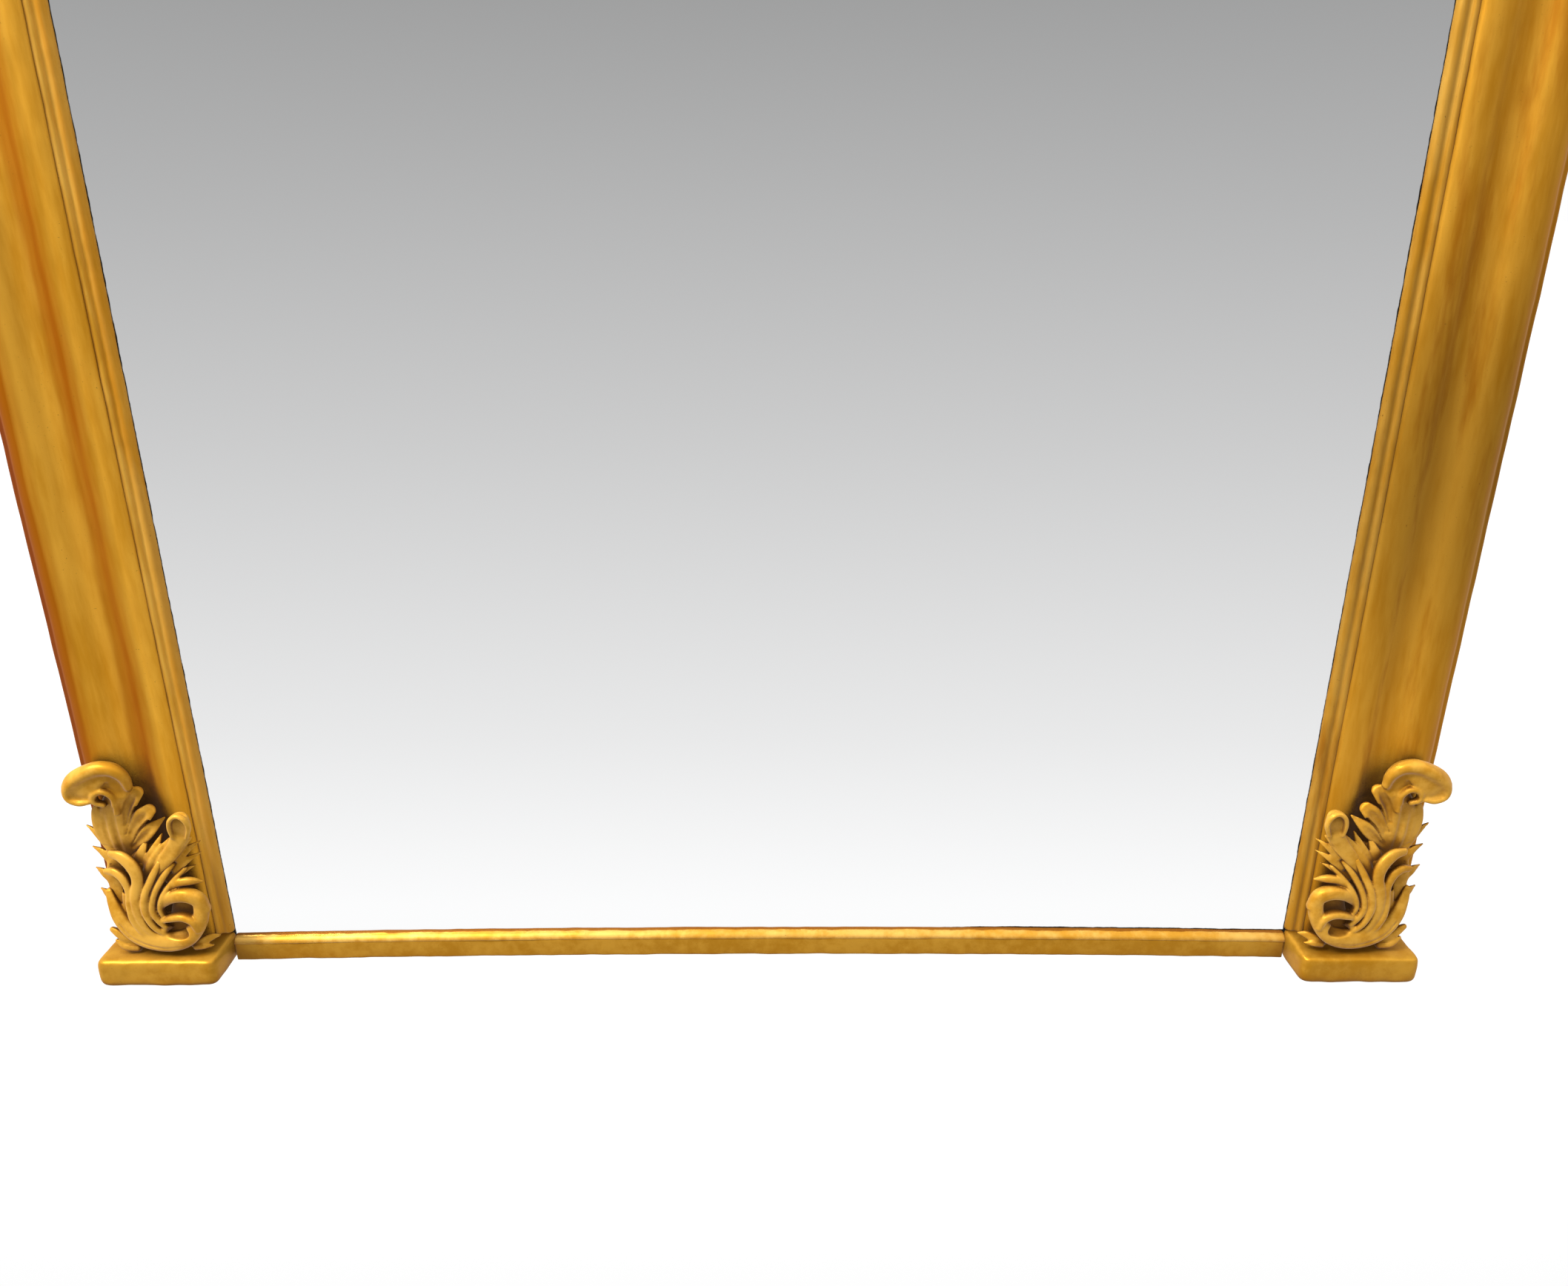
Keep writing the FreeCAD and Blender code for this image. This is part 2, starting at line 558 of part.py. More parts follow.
def make_glazing():
    """Mirror plate, the blocks that hold it and the backboards behind."""
    foot = "(Sizes.sight_base - Sizes.glass_lap)"
    back = f"{FRONT} + Sizes.glass_thickness"
    node("mirror_plate", arched_panel("mirror_plate", "Sizes.glass_lap", foot, back, "Sizes.glass_thickness"))
    wedges = []
    edge = f"({HALF_SIGHT} + {CARCASS_EDGE})"
    for place, share in enumerate(wedge_side_shares):
        height = f"Sizes.sight_base + ({SPRING} - Sizes.sight_base) * {share}"
        sides = ("Sizes.wedge_width", "Sizes.wedge_depth", "Sizes.wedge_length")
        wedges.append(box(f"left_wedge_{place}", (f"-{edge}", back, height), sides))
        wedges.append(box(f"right_wedge_{place}", (f"{edge} - Sizes.wedge_width", back, height), sides))
    for place, share in enumerate(wedge_level_shares):
        x = f"Sizes.sight_width * {share} - Sizes.wedge_length / 2"
        sides = ("Sizes.wedge_length", "Sizes.wedge_depth", "Sizes.wedge_width")
        top = f"{SIGHT_TOP} + {CARCASS_EDGE} - Sizes.wedge_width"
        wedges.append(box(f"top_wedge_{place}", (x, back, top), sides))
        wedges.append(box(f"bottom_wedge_{place}", (x, back, FLOOR_RAIL_HEIGHT), sides))
    group("glazing_blocks", wedges)


def make_backboards(brads):
    """Thin boards across the back, nailed in the rebate."""
    back = f"{BACK} - Sizes.board_thickness"
    for index in range(BOARD_COUNT - 1):
        sides = (f"2 * {BOARD_HALF}", "Sizes.board_thickness", BOARD_HEIGHT)
        blank = box(f"board_blank_{index}", (f"-{BOARD_HALF}", back, board_foot(index)), sides)
        node(f"backboard_{index + 1}", cut_by(f"board_{index}", blank, brads))
    top = arched_panel("top_board", BOARD_MARGIN, board_foot(BOARD_COUNT - 1), BACK, "Sizes.board_thickness")
    node(f"backboard_{BOARD_COUNT}", cut_by("top_board", top, brads))


def make_mouldings(pins):
    """Gilded main moulding and slip round the sides, shoulders and top."""
    side = side_length("side_moulding", moulding_profile(), "Sizes.block_height")
    mirrored("right_side_moulding", node("left_side_moulding", cut_by("pinned_moulding", side, pins)))
    bend = node("left_shoulder_moulding", shoulder("shoulder_moulding", moulding_profile()))
    mirrored("right_shoulder_moulding", bend)
    top = node("top_moulding", top_length("top_moulding", moulding_profile()))
    slip = node("left_side_slip", side_length("side_slip", slip_profile(), "Sizes.block_height"))
    mirrored("right_side_slip", slip)
    mirrored("right_shoulder_slip", node("left_shoulder_slip", shoulder("shoulder_slip", slip_profile())))
    node("top_slip", top_length("top_slip", slip_profile()))
    return side, slip, top


def make_bottom_rail():
    """Flat gilded face of the bottom rail and the bead above it, between the foot blocks."""
    length = f"2 * {BETWEEN_BLOCKS}"
    corner = (f"-{BETWEEN_BLOCKS}", f"{FRONT} - Sizes.fascia_depth", "0")
    node("bottom_fascia", box("bottom_fascia", corner, (length, "Sizes.fascia_depth", "Sizes.fascia_height")))
    body = new_body("bottom_slip", f"-{BETWEEN_BLOCKS}", FRONT, "0")
    corners = [
        ("0", "Sizes.fascia_height", 0), ("0", "Sizes.sight_base", 0),
        ("-Sizes.sight_edge", "Sizes.sight_base", bottom_bead_bow_share),
        ("-Sizes.fascia_depth", "Sizes.fascia_height", 0),
    ]
    pad(body, draw_outline(new_sketch(body, "YZ_Plane"), corners), length)
    node("bottom_slip", body)


def make_foot_blocks(screws):
    """Plinth blocks under the side mouldings, rounded at the front."""
    body = new_body("foot_block_blank", f"-{FRAME_HALF}", FRONT, "0")
    outer = "-Sizes.block_overhang"
    inner = f"({RAIL_WIDTH} + Sizes.block_inset)"
    front = "-Sizes.block_depth"
    radius = "Sizes.block_corner_radius"
    corners = [
        (outer, "0", 0), (outer, f"{front} + {radius}", quarter_bow_share), (f"{outer} + {radius}", front, 0),
        (f"{inner} - {radius}", front, quarter_bow_share), (inner, f"{front} + {radius}", 0), (inner, "0", 0),
    ]
    block = pad(body, draw_outline(new_sketch(body, "XY_Plane"), corners), "Sizes.block_height")
    doc.recompute()
    faces = [face for face in block.Shape.Faces if abs(face.normalAt(0, 0).z) > 0.5]
    edge_limit = -value("Sizes.block_edge_radius")
    rims = [edge for face in faces for edge in face.Edges if edge.CenterOfMass.y < edge_limit]
    names = []
    for index, edge in enumerate(block.Shape.Edges, start=1):
        if any(edge.isSame(rim) for rim in rims):
            names.append(f"Edge{index}")
    rounding = body.newObject("PartDesign::Fillet", "foot_block_rounding")
    rounding.Base = (block, names)
    bind(rounding, {"Radius": "Sizes.block_edge_radius"})
    mirrored("right_foot_block", node("left_foot_block", cut_by("foot_block", body, screws)))


def leaf(name, shares, spray, back, depth, bosses=()):
    """Leaf in low relief: an outline in shares padded forwards, with round bosses on its front."""
    body = new_body(name, spray["x"], f"{FRONT} - ({back})", spray["z"])
    corners = [(*spray["place"](across, up), bow) for across, up, bow in shares]
    pad(body, draw_outline(new_sketch(body, "XZ_Plane"), corners), depth)
    for middle, radius in bosses:
        sketch = draw_circle(new_sketch(body, "XZ_Plane", depth), *spray["place"](*middle), radius)
        pad(body, sketch, "Sizes.boss_height")
    return body


def scroll_leaf(name, spray):
    """Front leaf of a spray, with a sunk eye in its volute."""
    body = leaf(name, scroll_leaf_shares, spray, "Sizes.leaf_front", "Sizes.scroll_depth")
    circle = new_sketch(body, "XZ_Plane", "Sizes.scroll_depth")
    draw_circle(circle, *spray["place"](*eye_middle_shares), "Sizes.eye_radius")
    eye = body.newObject("PartDesign::Pocket", f"{name}_eye")
    eye.Profile = circle
    bind(eye, {"Length": "Sizes.eye_depth"})
    return body


def make_spray(prefix, spray, back, carriers):
    """Crook, outer, inner and scroll leaves of one spray, scribed to what carries them."""
    depth = f"Sizes.leaf_front - ({back})"
    curl = [(curl_middle_shares, "Sizes.curl_radius")]
    small_curl = [(small_curl_middle_shares, "Sizes.small_curl_radius")]
    crook = leaf(f"{prefix}_crook_blank", crook_leaf_shares, spray, back, depth, curl)
    outer = leaf(f"{prefix}_outer_blank", outer_leaf_shares, spray, back, depth)
    inner = leaf(f"{prefix}_inner_blank", inner_leaf_shares, spray, back, depth, small_curl)
    leaves = {
        "crook_leaf": cut_by(f"{prefix}_crook", crook, *carriers),
        "outer_leaf": cut_by(f"{prefix}_outer", outer, *carriers, crook),
        "inner_leaf": cut_by(f"{prefix}_inner", inner, *carriers),
        "scroll_leaf": scroll_leaf(f"{prefix}_scroll", spray),
    }
    return leaves


def make_ornament_pins():
    """Pins through the leaves of each foot spray into the moulding behind."""
    pins = []
    front = f"{FRONT} - Sizes.leaf_front"
    for place, (across, up) in enumerate(pin_shares):
        z = f"Sizes.block_height + Sizes.ornament_height * {up}"
        for side, sign in (("left", "-"), ("right", "")):
            x = f"{sign}({FRAME_HALF} - Sizes.ornament_width * {across})"
            size = ("Sizes.pin_head", "Sizes.brad_point", "Sizes.pin_length")
            pins.append(into_wall_side(cone(f"{side}_pin_{place}", (x, front, z), *size)))
    return group("ornament_pins", pins)


def make_foot_sprays(side_moulding, side_slip, pins):
    """Acanthus spray on each foot block, in front of the side moulding."""
    spray = {
        "x": f"-{FRAME_HALF}",
        "z": "Sizes.block_height",
        "place": lambda across, up: (f"Sizes.ornament_width * {across}", f"Sizes.ornament_height * {up}"),
    }
    leaves = make_spray("foot", spray, "Sizes.leaf_back", [side_moulding, side_slip])
    for name, solid in leaves.items():
        if name != "scroll_leaf":
            solid = cut_by(f"pinned_{name}", solid, pins)
        mirrored(f"right_foot_{name}", node(f"left_foot_{name}", solid))
    back = "Sizes.leaf_front - Sizes.sprig_depth"
    for name, shares in (("outer", left_sprig_shares), ("inner", right_sprig_shares)):
        body = leaf(f"{name}_sprig", shares, spray, back, "Sizes.sprig_depth")
        mirrored(f"right_{name}_sprig", node(f"left_{name}_sprig", body))


def make_crest(top_moulding, dowels):
    """Shell on the middle of the top rail with a lying spray on each side and a board behind."""
    shell = new_body("shell_blank", "0", FRONT, f"{FRAME_TOP} + Sizes.shell_rise - Sizes.shell_height")
    half = list(shell_shares)
    corners = half[:-1]
    for (across, up, _), (_, _, bow) in zip(reversed(half[1:]), reversed(half[:-1])):
        corners.append((-across, up, bow))
    outline = [(f"Sizes.shell_width * {x}", f"Sizes.shell_height * {z}", bow) for x, z, bow in corners]
    pad(shell, draw_outline(new_sketch(shell, "XZ_Plane"), outline), "Sizes.shell_depth")
    boss = draw_circle(
        new_sketch(shell, "XZ_Plane", "Sizes.shell_depth"),
        "0", f"Sizes.shell_height * {cabochon_height_share}", "Sizes.cabochon_radius",
    )
    pad(shell, boss, "Sizes.boss_height")
    node("crest_shell", cut_by("crest_shell", shell, top_moulding))
    spray = {
        "x": "-Sizes.shell_width / 2",
        "z": f"{FRAME_TOP} + Sizes.crest_rise",
        "place": lambda across, up: (f"-Sizes.ornament_height * {up}", f"-Sizes.ornament_width * {across}"),
    }
    for name, solid in make_spray("crest", spray, "0", [top_moulding]).items():
        mirrored(f"right_crest_{name}", node(f"left_crest_{name}", solid))
    corner = ("-Sizes.backing_width / 2", FRONT, FRAME_TOP)
    sides = ("Sizes.backing_width", "Sizes.backing_thickness", "Sizes.backing_height")
    node("crest_backing", cut_by("crest_board", box("crest_board", corner, sides), dowels))


def make_hangers(screws):
    """Strap with a rolled loop on each stile, and the hanging ring that swings in it."""
    x = f"-{HANGER_X} - Sizes.strap_width / 2"
    sides = ("Sizes.strap_width", "Sizes.strap_thickness", "Sizes.strap_length")
    plate = box("strap_plate", (x, BACK, HANGER_Z), sides)
    roll = along_x(cylinder("strap_roll", (x, LOOP_Y, HANGER_Z), f"2 * {LOOP_RADIUS}", "Sizes.strap_width"))
    hole = "Sizes.ring_wire + 2 * Sizes.ring_play"
    bore = along_x(cylinder("strap_bore", (x, LOOP_Y, HANGER_Z), hole, "Sizes.strap_width"))
    strap = cut_by("strap", fuse("strap_blank", plate, roll), bore, screws)
    mirrored("right_hanger_strap", node("left_hanger_strap", strap))
    ring = new_body("ring", f"-{HANGER_X}", LOOP_Y, HANGER_Z)
    bar = "(Sizes.ring_radius - Sizes.ring_corner_radius)"
    corner = "-Sizes.ring_corner_radius"
    path = draw_outline(new_sketch(ring, "XZ_Plane"), [
        (f"-{bar}", "0", 0), (bar, "0", quarter_bow_share),
        ("Sizes.ring_radius", corner, quarter_bow_share),
        ("0", f"{corner} - Sizes.ring_radius", quarter_bow_share),
        ("-Sizes.ring_radius", corner, quarter_bow_share),
    ])
    wire = draw_circle(new_sketch(ring, "YZ_Plane"), "0", "0", "Sizes.ring_wire / 2")
    pipe = ring.newObject("PartDesign::AdditivePipe", "ring_pipe")
    pipe.Profile = wire
    pipe.Spine = (path, [])
    mirrored("right_hanger_ring", node("left_hanger_ring", ring))


def write_nodes():
    """Check every object and write each node's solid."""
    doc.recompute()
    for thing in doc.Objects:
        if "Invalid" in thing.State or "Error" in thing.State:
            raise RuntimeError(f"{thing.Label} failed: {thing.State}")
    for label, thing in nodes.items():
        if thing.Shape.isNull() or not thing.Shape.isValid() or not thing.Shape.Solids:
            raise RuntimeError(f"{label} has no valid solid")
    os.makedirs("parts", exist_ok=True)
    whole = FreeCAD.BoundBox()
    for label, thing in nodes.items():
        thing.Shape.exportStep(f"parts/{label}.step")
        whole.add(thing.Shape.BoundBox)
    print(f"{len(nodes)} nodes, {whole}")


backboard_brads = make_backboard_brads()
carcass_dowels = make_carcass_dowels()
foot_screws = make_foot_screws()
hanger_screws = make_hanger_screws()
make_carcass(carcass_dowels, backboard_brads, foot_screws, hanger_screws)
make_glazing()
make_backboards(backboard_brads)
ornament_pins = make_ornament_pins()
left_side_moulding, left_side_slip, top_moulding = make_mouldings(ornament_pins)
make_bottom_rail()
make_foot_blocks(foot_screws)
make_foot_sprays(left_side_moulding, left_side_slip, ornament_pins)
make_crest(top_moulding, carcass_dowels)
make_hangers(hanger_screws)
write_nodes()
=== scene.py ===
import json
import logging
import math
from dataclasses import dataclass, field
from enum import Enum
from functools import partialmethod

import bmesh
import bpy
import numpy as np
from mathutils import Matrix, Vector, noise

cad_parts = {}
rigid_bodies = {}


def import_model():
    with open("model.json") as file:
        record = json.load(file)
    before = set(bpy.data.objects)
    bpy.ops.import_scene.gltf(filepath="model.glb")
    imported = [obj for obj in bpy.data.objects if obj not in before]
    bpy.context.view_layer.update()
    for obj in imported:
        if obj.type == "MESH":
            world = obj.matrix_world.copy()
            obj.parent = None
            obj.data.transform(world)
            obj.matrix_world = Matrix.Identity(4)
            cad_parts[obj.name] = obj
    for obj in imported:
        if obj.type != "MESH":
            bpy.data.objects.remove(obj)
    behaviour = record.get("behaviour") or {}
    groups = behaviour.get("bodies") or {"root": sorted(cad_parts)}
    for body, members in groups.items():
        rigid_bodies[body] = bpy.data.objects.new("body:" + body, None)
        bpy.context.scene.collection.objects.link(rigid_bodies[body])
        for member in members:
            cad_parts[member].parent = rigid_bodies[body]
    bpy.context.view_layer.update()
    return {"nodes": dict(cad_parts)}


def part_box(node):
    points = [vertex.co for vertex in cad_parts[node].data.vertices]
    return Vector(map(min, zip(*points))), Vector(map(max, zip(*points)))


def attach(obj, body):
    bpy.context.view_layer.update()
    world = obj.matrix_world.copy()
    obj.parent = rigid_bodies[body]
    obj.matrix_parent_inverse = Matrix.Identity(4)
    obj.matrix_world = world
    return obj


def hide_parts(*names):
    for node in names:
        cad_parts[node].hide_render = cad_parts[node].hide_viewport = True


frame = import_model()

LOG = logging.getLogger("overmantel_mirror")
MM = 0.001

Colour = tuple[float, float, float]
Station = tuple[float, float, float, float, float]
Socket = bpy.types.NodeSocket

# Blender's names of the socket types, and the outputs that all surface groups have.
COLOUR_SOCKET = "NodeSocketColor"
NUMBER_SOCKET = "NodeSocketFloat"
VECTOR_SOCKET = "NodeSocketVector"
SURFACE = {"Color": COLOUR_SOCKET, "Roughness": NUMBER_SOCKET, "Height": NUMBER_SOCKET}
# Places of the colour sockets on a Mix node.
MIX_COLOURS = (6, 7)
MIX_RESULT = 2


class Side(Enum):
    """Hand of a piece, with the sign of its X."""

    LEFT = -1
    RIGHT = 1


class Grain(Enum):
    """Way that the grain of a board runs."""

    LEVEL = (1.0, 9.0, 22.0)
    UPRIGHT = (22.0, 9.0, 1.0)


@dataclass(frozen=True)
class FrameSizes:
    """Places of the frame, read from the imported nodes, in metres."""

    half_sight: float
    sight_base: float
    shoulder_radius: float
    spring: float
    outer_half: float
    glass_front: float
    block_top: float
    shell_base: float

    @classmethod
    def from_nodes(cls) -> "FrameSizes":
        """Measure the nodes that the looks depend on.

        Returns:
            The places that the carved pieces and finishes are set out from.
        """
        slip_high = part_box("left_side_slip")[1]
        shoulder_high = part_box("left_shoulder_slip")[1]
        return cls(
            half_sight=-slip_high.x,
            sight_base=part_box("bottom_slip")[1].z,
            shoulder_radius=-slip_high.x + shoulder_high.x,
            spring=slip_high.z,
            outer_half=-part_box("left_side_moulding")[0].x,
            glass_front=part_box("mirror_plate")[0].y,
            block_top=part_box("left_foot_block")[1].z,
            shell_base=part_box("crest_shell")[0].z,
        )

    @property
    def rail_width(self) -> float:
        """Width of the side rails, from the sight edge to the outer edge."""
        return self.outer_half - self.half_sight


SIZES = FrameSizes.from_nodes()
# The bottom rail has warped upwards by this much at its middle.
RAIL_BOW = 0.0060
# The ground under the gold makes mouldings and slips thicker by this much.
GROUND_SWELL = 0.0006
# How far round a point the finishes look for recesses, deep corners where black shade is painted, edges and
# joints.
RECESS_REACH = 0.022
DEEP_SHADE_REACH = 0.055
EDGE_REACH = 0.004
JOINT_REACH = 0.012
# Marks that run with the rail are drawn out along it by this share.
RAIL_STRETCH = 0.14


class NodeTree:
    """Short way to place and link shader nodes in one tree."""

    def __init__(self, tree: bpy.types.NodeTree) -> None:
        """Keep the tree that nodes go into."""
        self.tree = tree

    def add(self, kind: str, inputs: dict | None = None, **settings: object) -> bpy.types.Node:
        """Place a node, set its properties and fill or link its inputs.

        Args:
            kind: Blender's name of the node type.
            inputs: Input name or index to a value or to a socket that feeds it.
            **settings: Properties of the node.

        Returns:
            The new node.
        """
        node = self.tree.nodes.new(kind)
        for name, setting in settings.items():
            setattr(node, name, setting)
        for key, given in (inputs or {}).items():
            if isinstance(given, Socket):
                self.link(given, node.inputs[key])
            else:
                node.inputs[key].default_value = given
        return node

    def math(self, operation: str, first: "Socket | float", second: "Socket | float" = 0.0) -> Socket:
        """Result of a Math node on two values."""
        node = self.add("ShaderNodeMath", {0: first, 1: second}, operation=operation)
        return node.outputs[0]

    # Sum, difference, product, quotient and larger of two values.
    plus = partialmethod(math, "ADD")
    minus = partialmethod(math, "SUBTRACT")
    times = partialmethod(math, "MULTIPLY")
    over = partialmethod(math, "DIVIDE")
    most = partialmethod(math, "MAXIMUM")

    def link(self, source: Socket, target: Socket) -> None:
        """Feed a socket from another."""
        self.tree.links.new(source, target)

    def smooth(
        self, given: Socket, low: float, high: float, at_low: float = 0.0, at_high: float = 1.0,
    ) -> Socket:
        """Value eased from one figure at low to another at high."""
        inputs = {"Value": given, "From Min": low, "From Max": high, "To Min": at_low, "To Max": at_high}
        return self.add("ShaderNodeMapRange", inputs, interpolation_type="SMOOTHSTEP").outputs[0]

    def mix(self, share: "Socket | float", first: "Socket | Colour", second: "Socket | Colour") -> Socket:
        """Colour between two colours.

        Args:
            share: Share of the second colour.
            first: Colour where the share is 0.
            second: Colour where the share is 1.

        Returns:
            The mixed colour.
        """
        inputs = {0: share}
        for index, colour in zip(MIX_COLOURS, (first, second)):
            inputs[index] = colour if isinstance(colour, Socket) else (*colour, 1.0)
        return self.add("ShaderNodeMix", inputs, data_type="RGBA").outputs[MIX_RESULT]

    def noise(self, vector: Socket, scale: float, detail: float = 3.0, roughness: float = 0.5) -> Socket:
        """Value of a noise texture."""
        inputs = {"Vector": vector, "Scale": scale, "Detail": detail, "Roughness": roughness}
        return self.add("ShaderNodeTexNoise", inputs).outputs[0]

    def ramp(self, given: Socket, shades: tuple[tuple[float, float], ...], easing: str = "LINEAR") -> Socket:
        """Grey shades laid out along a value.

        Args:
            given: Value to look up.
            shades: Place and shade of each stop.
            easing: How the shades between two stops are found.

        Returns:
            The shade at the value.
        """
        node = self.add("ShaderNodeValToRGB", {0: given})
        ramp = node.color_ramp
        ramp.interpolation = easing
        while len(ramp.elements) < len(shades):
            ramp.elements.new(0.5)
        for stop, (position, shade) in zip(ramp.elements, shades):
            stop.position = position
            stop.color = (shade, shade, shade, 1.0)
        return node.outputs[0]

    def place(self) -> Socket:
        """Place on the object, in metres of the shared frame."""
        return self.add("ShaderNodeTexCoord").outputs["Object"]

    def coordinates(self) -> tuple[Socket, Socket, Socket]:
        """X, Y and Z of the place on the object."""
        return tuple(self.add("ShaderNodeSeparateXYZ", {0: self.place()}).outputs)

    def openness(self, reach: float, samples: int, **settings: bool) -> Socket:
        """How open it is round a point, from 0 in a deep recess to 1 on a free face."""
        node = self.add("ShaderNodeAmbientOcclusion", {"Distance": reach}, samples=samples, **settings)
        return node.outputs["AO"]


class EffectGroups:
    """Shader node groups that several finishes share, each built once."""

    def __init__(self) -> None:
        """Build all groups."""
        self.across = self._rail_across()
        self.gilding = self._gilding()
        self.grain = self._grain()

    @staticmethod
    def _group(name: str, inputs: dict[str, str], outputs: dict[str, str]) -> tuple[NodeTree, dict, dict]:
        """Start a group with named sockets.

        Args:
            name: Name of the group.
            inputs: Input names and their socket types.
            outputs: Output names and their socket types.

        Returns:
            The tree, the inner sockets of the inputs, and those of the outputs.
        """
        group = bpy.data.node_groups.new(name, "ShaderNodeTree")
        for socket, kind in inputs.items():
            group.interface.new_socket(socket, in_out="INPUT", socket_type=kind)
        for socket, kind in outputs.items():
            group.interface.new_socket(socket, in_out="OUTPUT", socket_type=kind)
        tree = NodeTree(group)
        given = tree.add("NodeGroupInput")
        result = tree.add("NodeGroupOutput")
        return tree, {s.name: s for s in given.outputs}, {s.name: s for s in result.inputs}

    def _rail_across(self) -> bpy.types.NodeTree:
        """Distance outwards from the sight edge, round the sides, shoulders and top.

        Returns:
            The tree of the group.
        """
        outputs = {"Across": NUMBER_SOCKET, "Above": NUMBER_SOCKET, "Along": VECTOR_SOCKET}
        tree, _, out = self._group("rail_across", {}, outputs)
        x, y, z = tree.coordinates()
        arc_middle = SIZES.half_sight - SIZES.shoulder_radius
        side = tree.most(tree.minus(tree.math("ABSOLUTE", x), arc_middle), 0.0)
        rise = tree.most(tree.minus(z, SIZES.spring), 0.0)
        square = tree.plus(tree.times(side, side), tree.times(rise, rise))
        across = tree.minus(tree.math("SQRT", square), SIZES.shoulder_radius)
        tree.link(across, out["Across"])
        tree.link(tree.minus(z, SIZES.sight_base), out["Above"])
        run = tree.times(tree.plus(x, z), RAIL_STRETCH)
        along = tree.add("ShaderNodeCombineXYZ", {0: across, 1: y, 2: run})
        tree.link(along.outputs[0], out["Along"])
        return tree.tree

    def _gilding(self) -> bpy.types.NodeTree:
        """Old gold leaf: mottling, patina with painted shade in recesses, painted black shade in deep gaps,
        rubbed edges, specks and a soft height.

        Returns:
            The tree of the group.
        """
        inputs = dict.fromkeys(("Leaf", "Rubbed", "Patina", "Bole", "Grime"), COLOUR_SOCKET)
        inputs |= dict.fromkeys(("Recess", "Shade", "Edge", "Specks", "Deep", "Bare"), NUMBER_SOCKET)
        tree, given, out = self._group("gilding", inputs | {"Place": VECTOR_SOCKET}, SURFACE)
        place = given["Place"]
        broad = tree.noise(place, 16.0, 4.0, 0.5)
        fine = tree.noise(place, 85.0, 5.0, 0.6)
        grit = tree.noise(tree.place(), 520.0, 3.0, 0.6)
        mixed = tree.plus(tree.times(broad, 0.55), tree.times(fine, 0.45))
        mottle = tree.smooth(mixed, 0.38, 0.62)
        gold = tree.mix(mottle, given["Leaf"], given["Rubbed"])
        # Patina with painted shade, darker the deeper the recess.
        hollow = tree.openness(RECESS_REACH, 8)
        recess = tree.smooth(tree.plus(hollow, tree.times(fine, 0.2)), 1.06, 0.58)
        shade = tree.most(tree.times(recess, given["Recess"]), given["Shade"])
        aged_and_shaded = tree.mix(shade, gold, given["Patina"])
        thick = tree.openness(EDGE_REACH, 6, inside=True, only_local=True)
        edge = tree.smooth(tree.plus(thick, tree.times(fine, 0.45)), 0.86, 0.56)
        bare = tree.most(tree.times(edge, given["Edge"]), given["Bare"])
        worn = tree.mix(bare, aged_and_shaded, given["Bole"])
        spots = tree.times(tree.smooth(grit, 0.66, 0.74), tree.smooth(fine, 0.5, 0.62))
        speckled = tree.mix(tree.times(spots, given["Specks"]), worn, given["Grime"])
        # Painted shade: near-black in deep gaps and corners, in the grime colour.
        painted_dark = tree.times(tree.smooth(tree.openness(DEEP_SHADE_REACH, 8), 0.60, 0.26), given["Deep"])
        deep_shaded = tree.mix(painted_dark, speckled, given["Grime"])
        tree.link(deep_shaded, out["Color"])
        rough = tree.plus(0.30, tree.times(fine, 0.22))
        tree.link(tree.plus(rough, tree.times(shade, 0.18)), out["Roughness"])
        height = tree.plus(tree.times(fine, 0.5), tree.times(grit, 0.12))
        tree.link(tree.plus(height, tree.times(broad, 1.4)), out["Height"])
        return tree.tree

    def _grain(self) -> bpy.types.NodeTree:
        """Grain of an old softwood board, with streaks, rings and grime.

        Returns:
            The tree of the group.
        """
        inputs = dict.fromkeys(("Early", "Late", "Grime"), COLOUR_SOCKET)
        tree, given, out = self._group("board_grain", inputs | {"Place": VECTOR_SOCKET}, SURFACE)
        rings = tree.noise(given["Place"], 3.2, 3.0, 0.5)
        fibre = tree.noise(given["Place"], 24.0, 5.0, 0.65)
        grime = tree.smooth(tree.noise(tree.place(), 3.5, 6.0, 0.65), 0.42, 0.8)
        wave = tree.math("ABSOLUTE", tree.math("SINE", tree.times(rings, 42.0)))
        both = tree.plus(tree.times(wave, 0.55), tree.times(fibre, 0.7))
        streak = tree.smooth(both, 0.3, 1.05)
        wood = tree.mix(streak, given["Late"], given["Early"])
        joint = tree.smooth(tree.openness(JOINT_REACH, 6), 0.9, 0.45)
        stain = tree.most(tree.times(grime, 0.5), joint)
        tree.link(tree.mix(stain, wood, given["Grime"]), out["Color"])
        tree.link(tree.plus(0.62, tree.times(fibre, 0.25)), out["Roughness"])
        tree.link(tree.plus(fibre, tree.times(rings, 0.5)), out["Height"])
        return tree.tree


def empty_tree(block: "bpy.types.Material | bpy.types.World") -> NodeTree:
    """Take the first nodes out of a material or world.

    Args:
        block: Material or world to start.

    Returns:
        Its empty tree.
    """
    block.use_nodes = True
    block.node_tree.nodes.clear()
    return NodeTree(block.node_tree)


def new_material(name: str) -> tuple[bpy.types.Material, NodeTree, bpy.types.Node]:
    """Start a material with an empty Principled shader.

    Args:
        name: Name of the material.

    Returns:
        The material, its tree and its shader node.
    """
    material = bpy.data.materials.new(name)
    tree = empty_tree(material)
    shader = tree.add("ShaderNodeBsdfPrincipled")
    tree.add("ShaderNodeOutputMaterial", {"Surface": shader.outputs[0]})
    return material, tree, shader


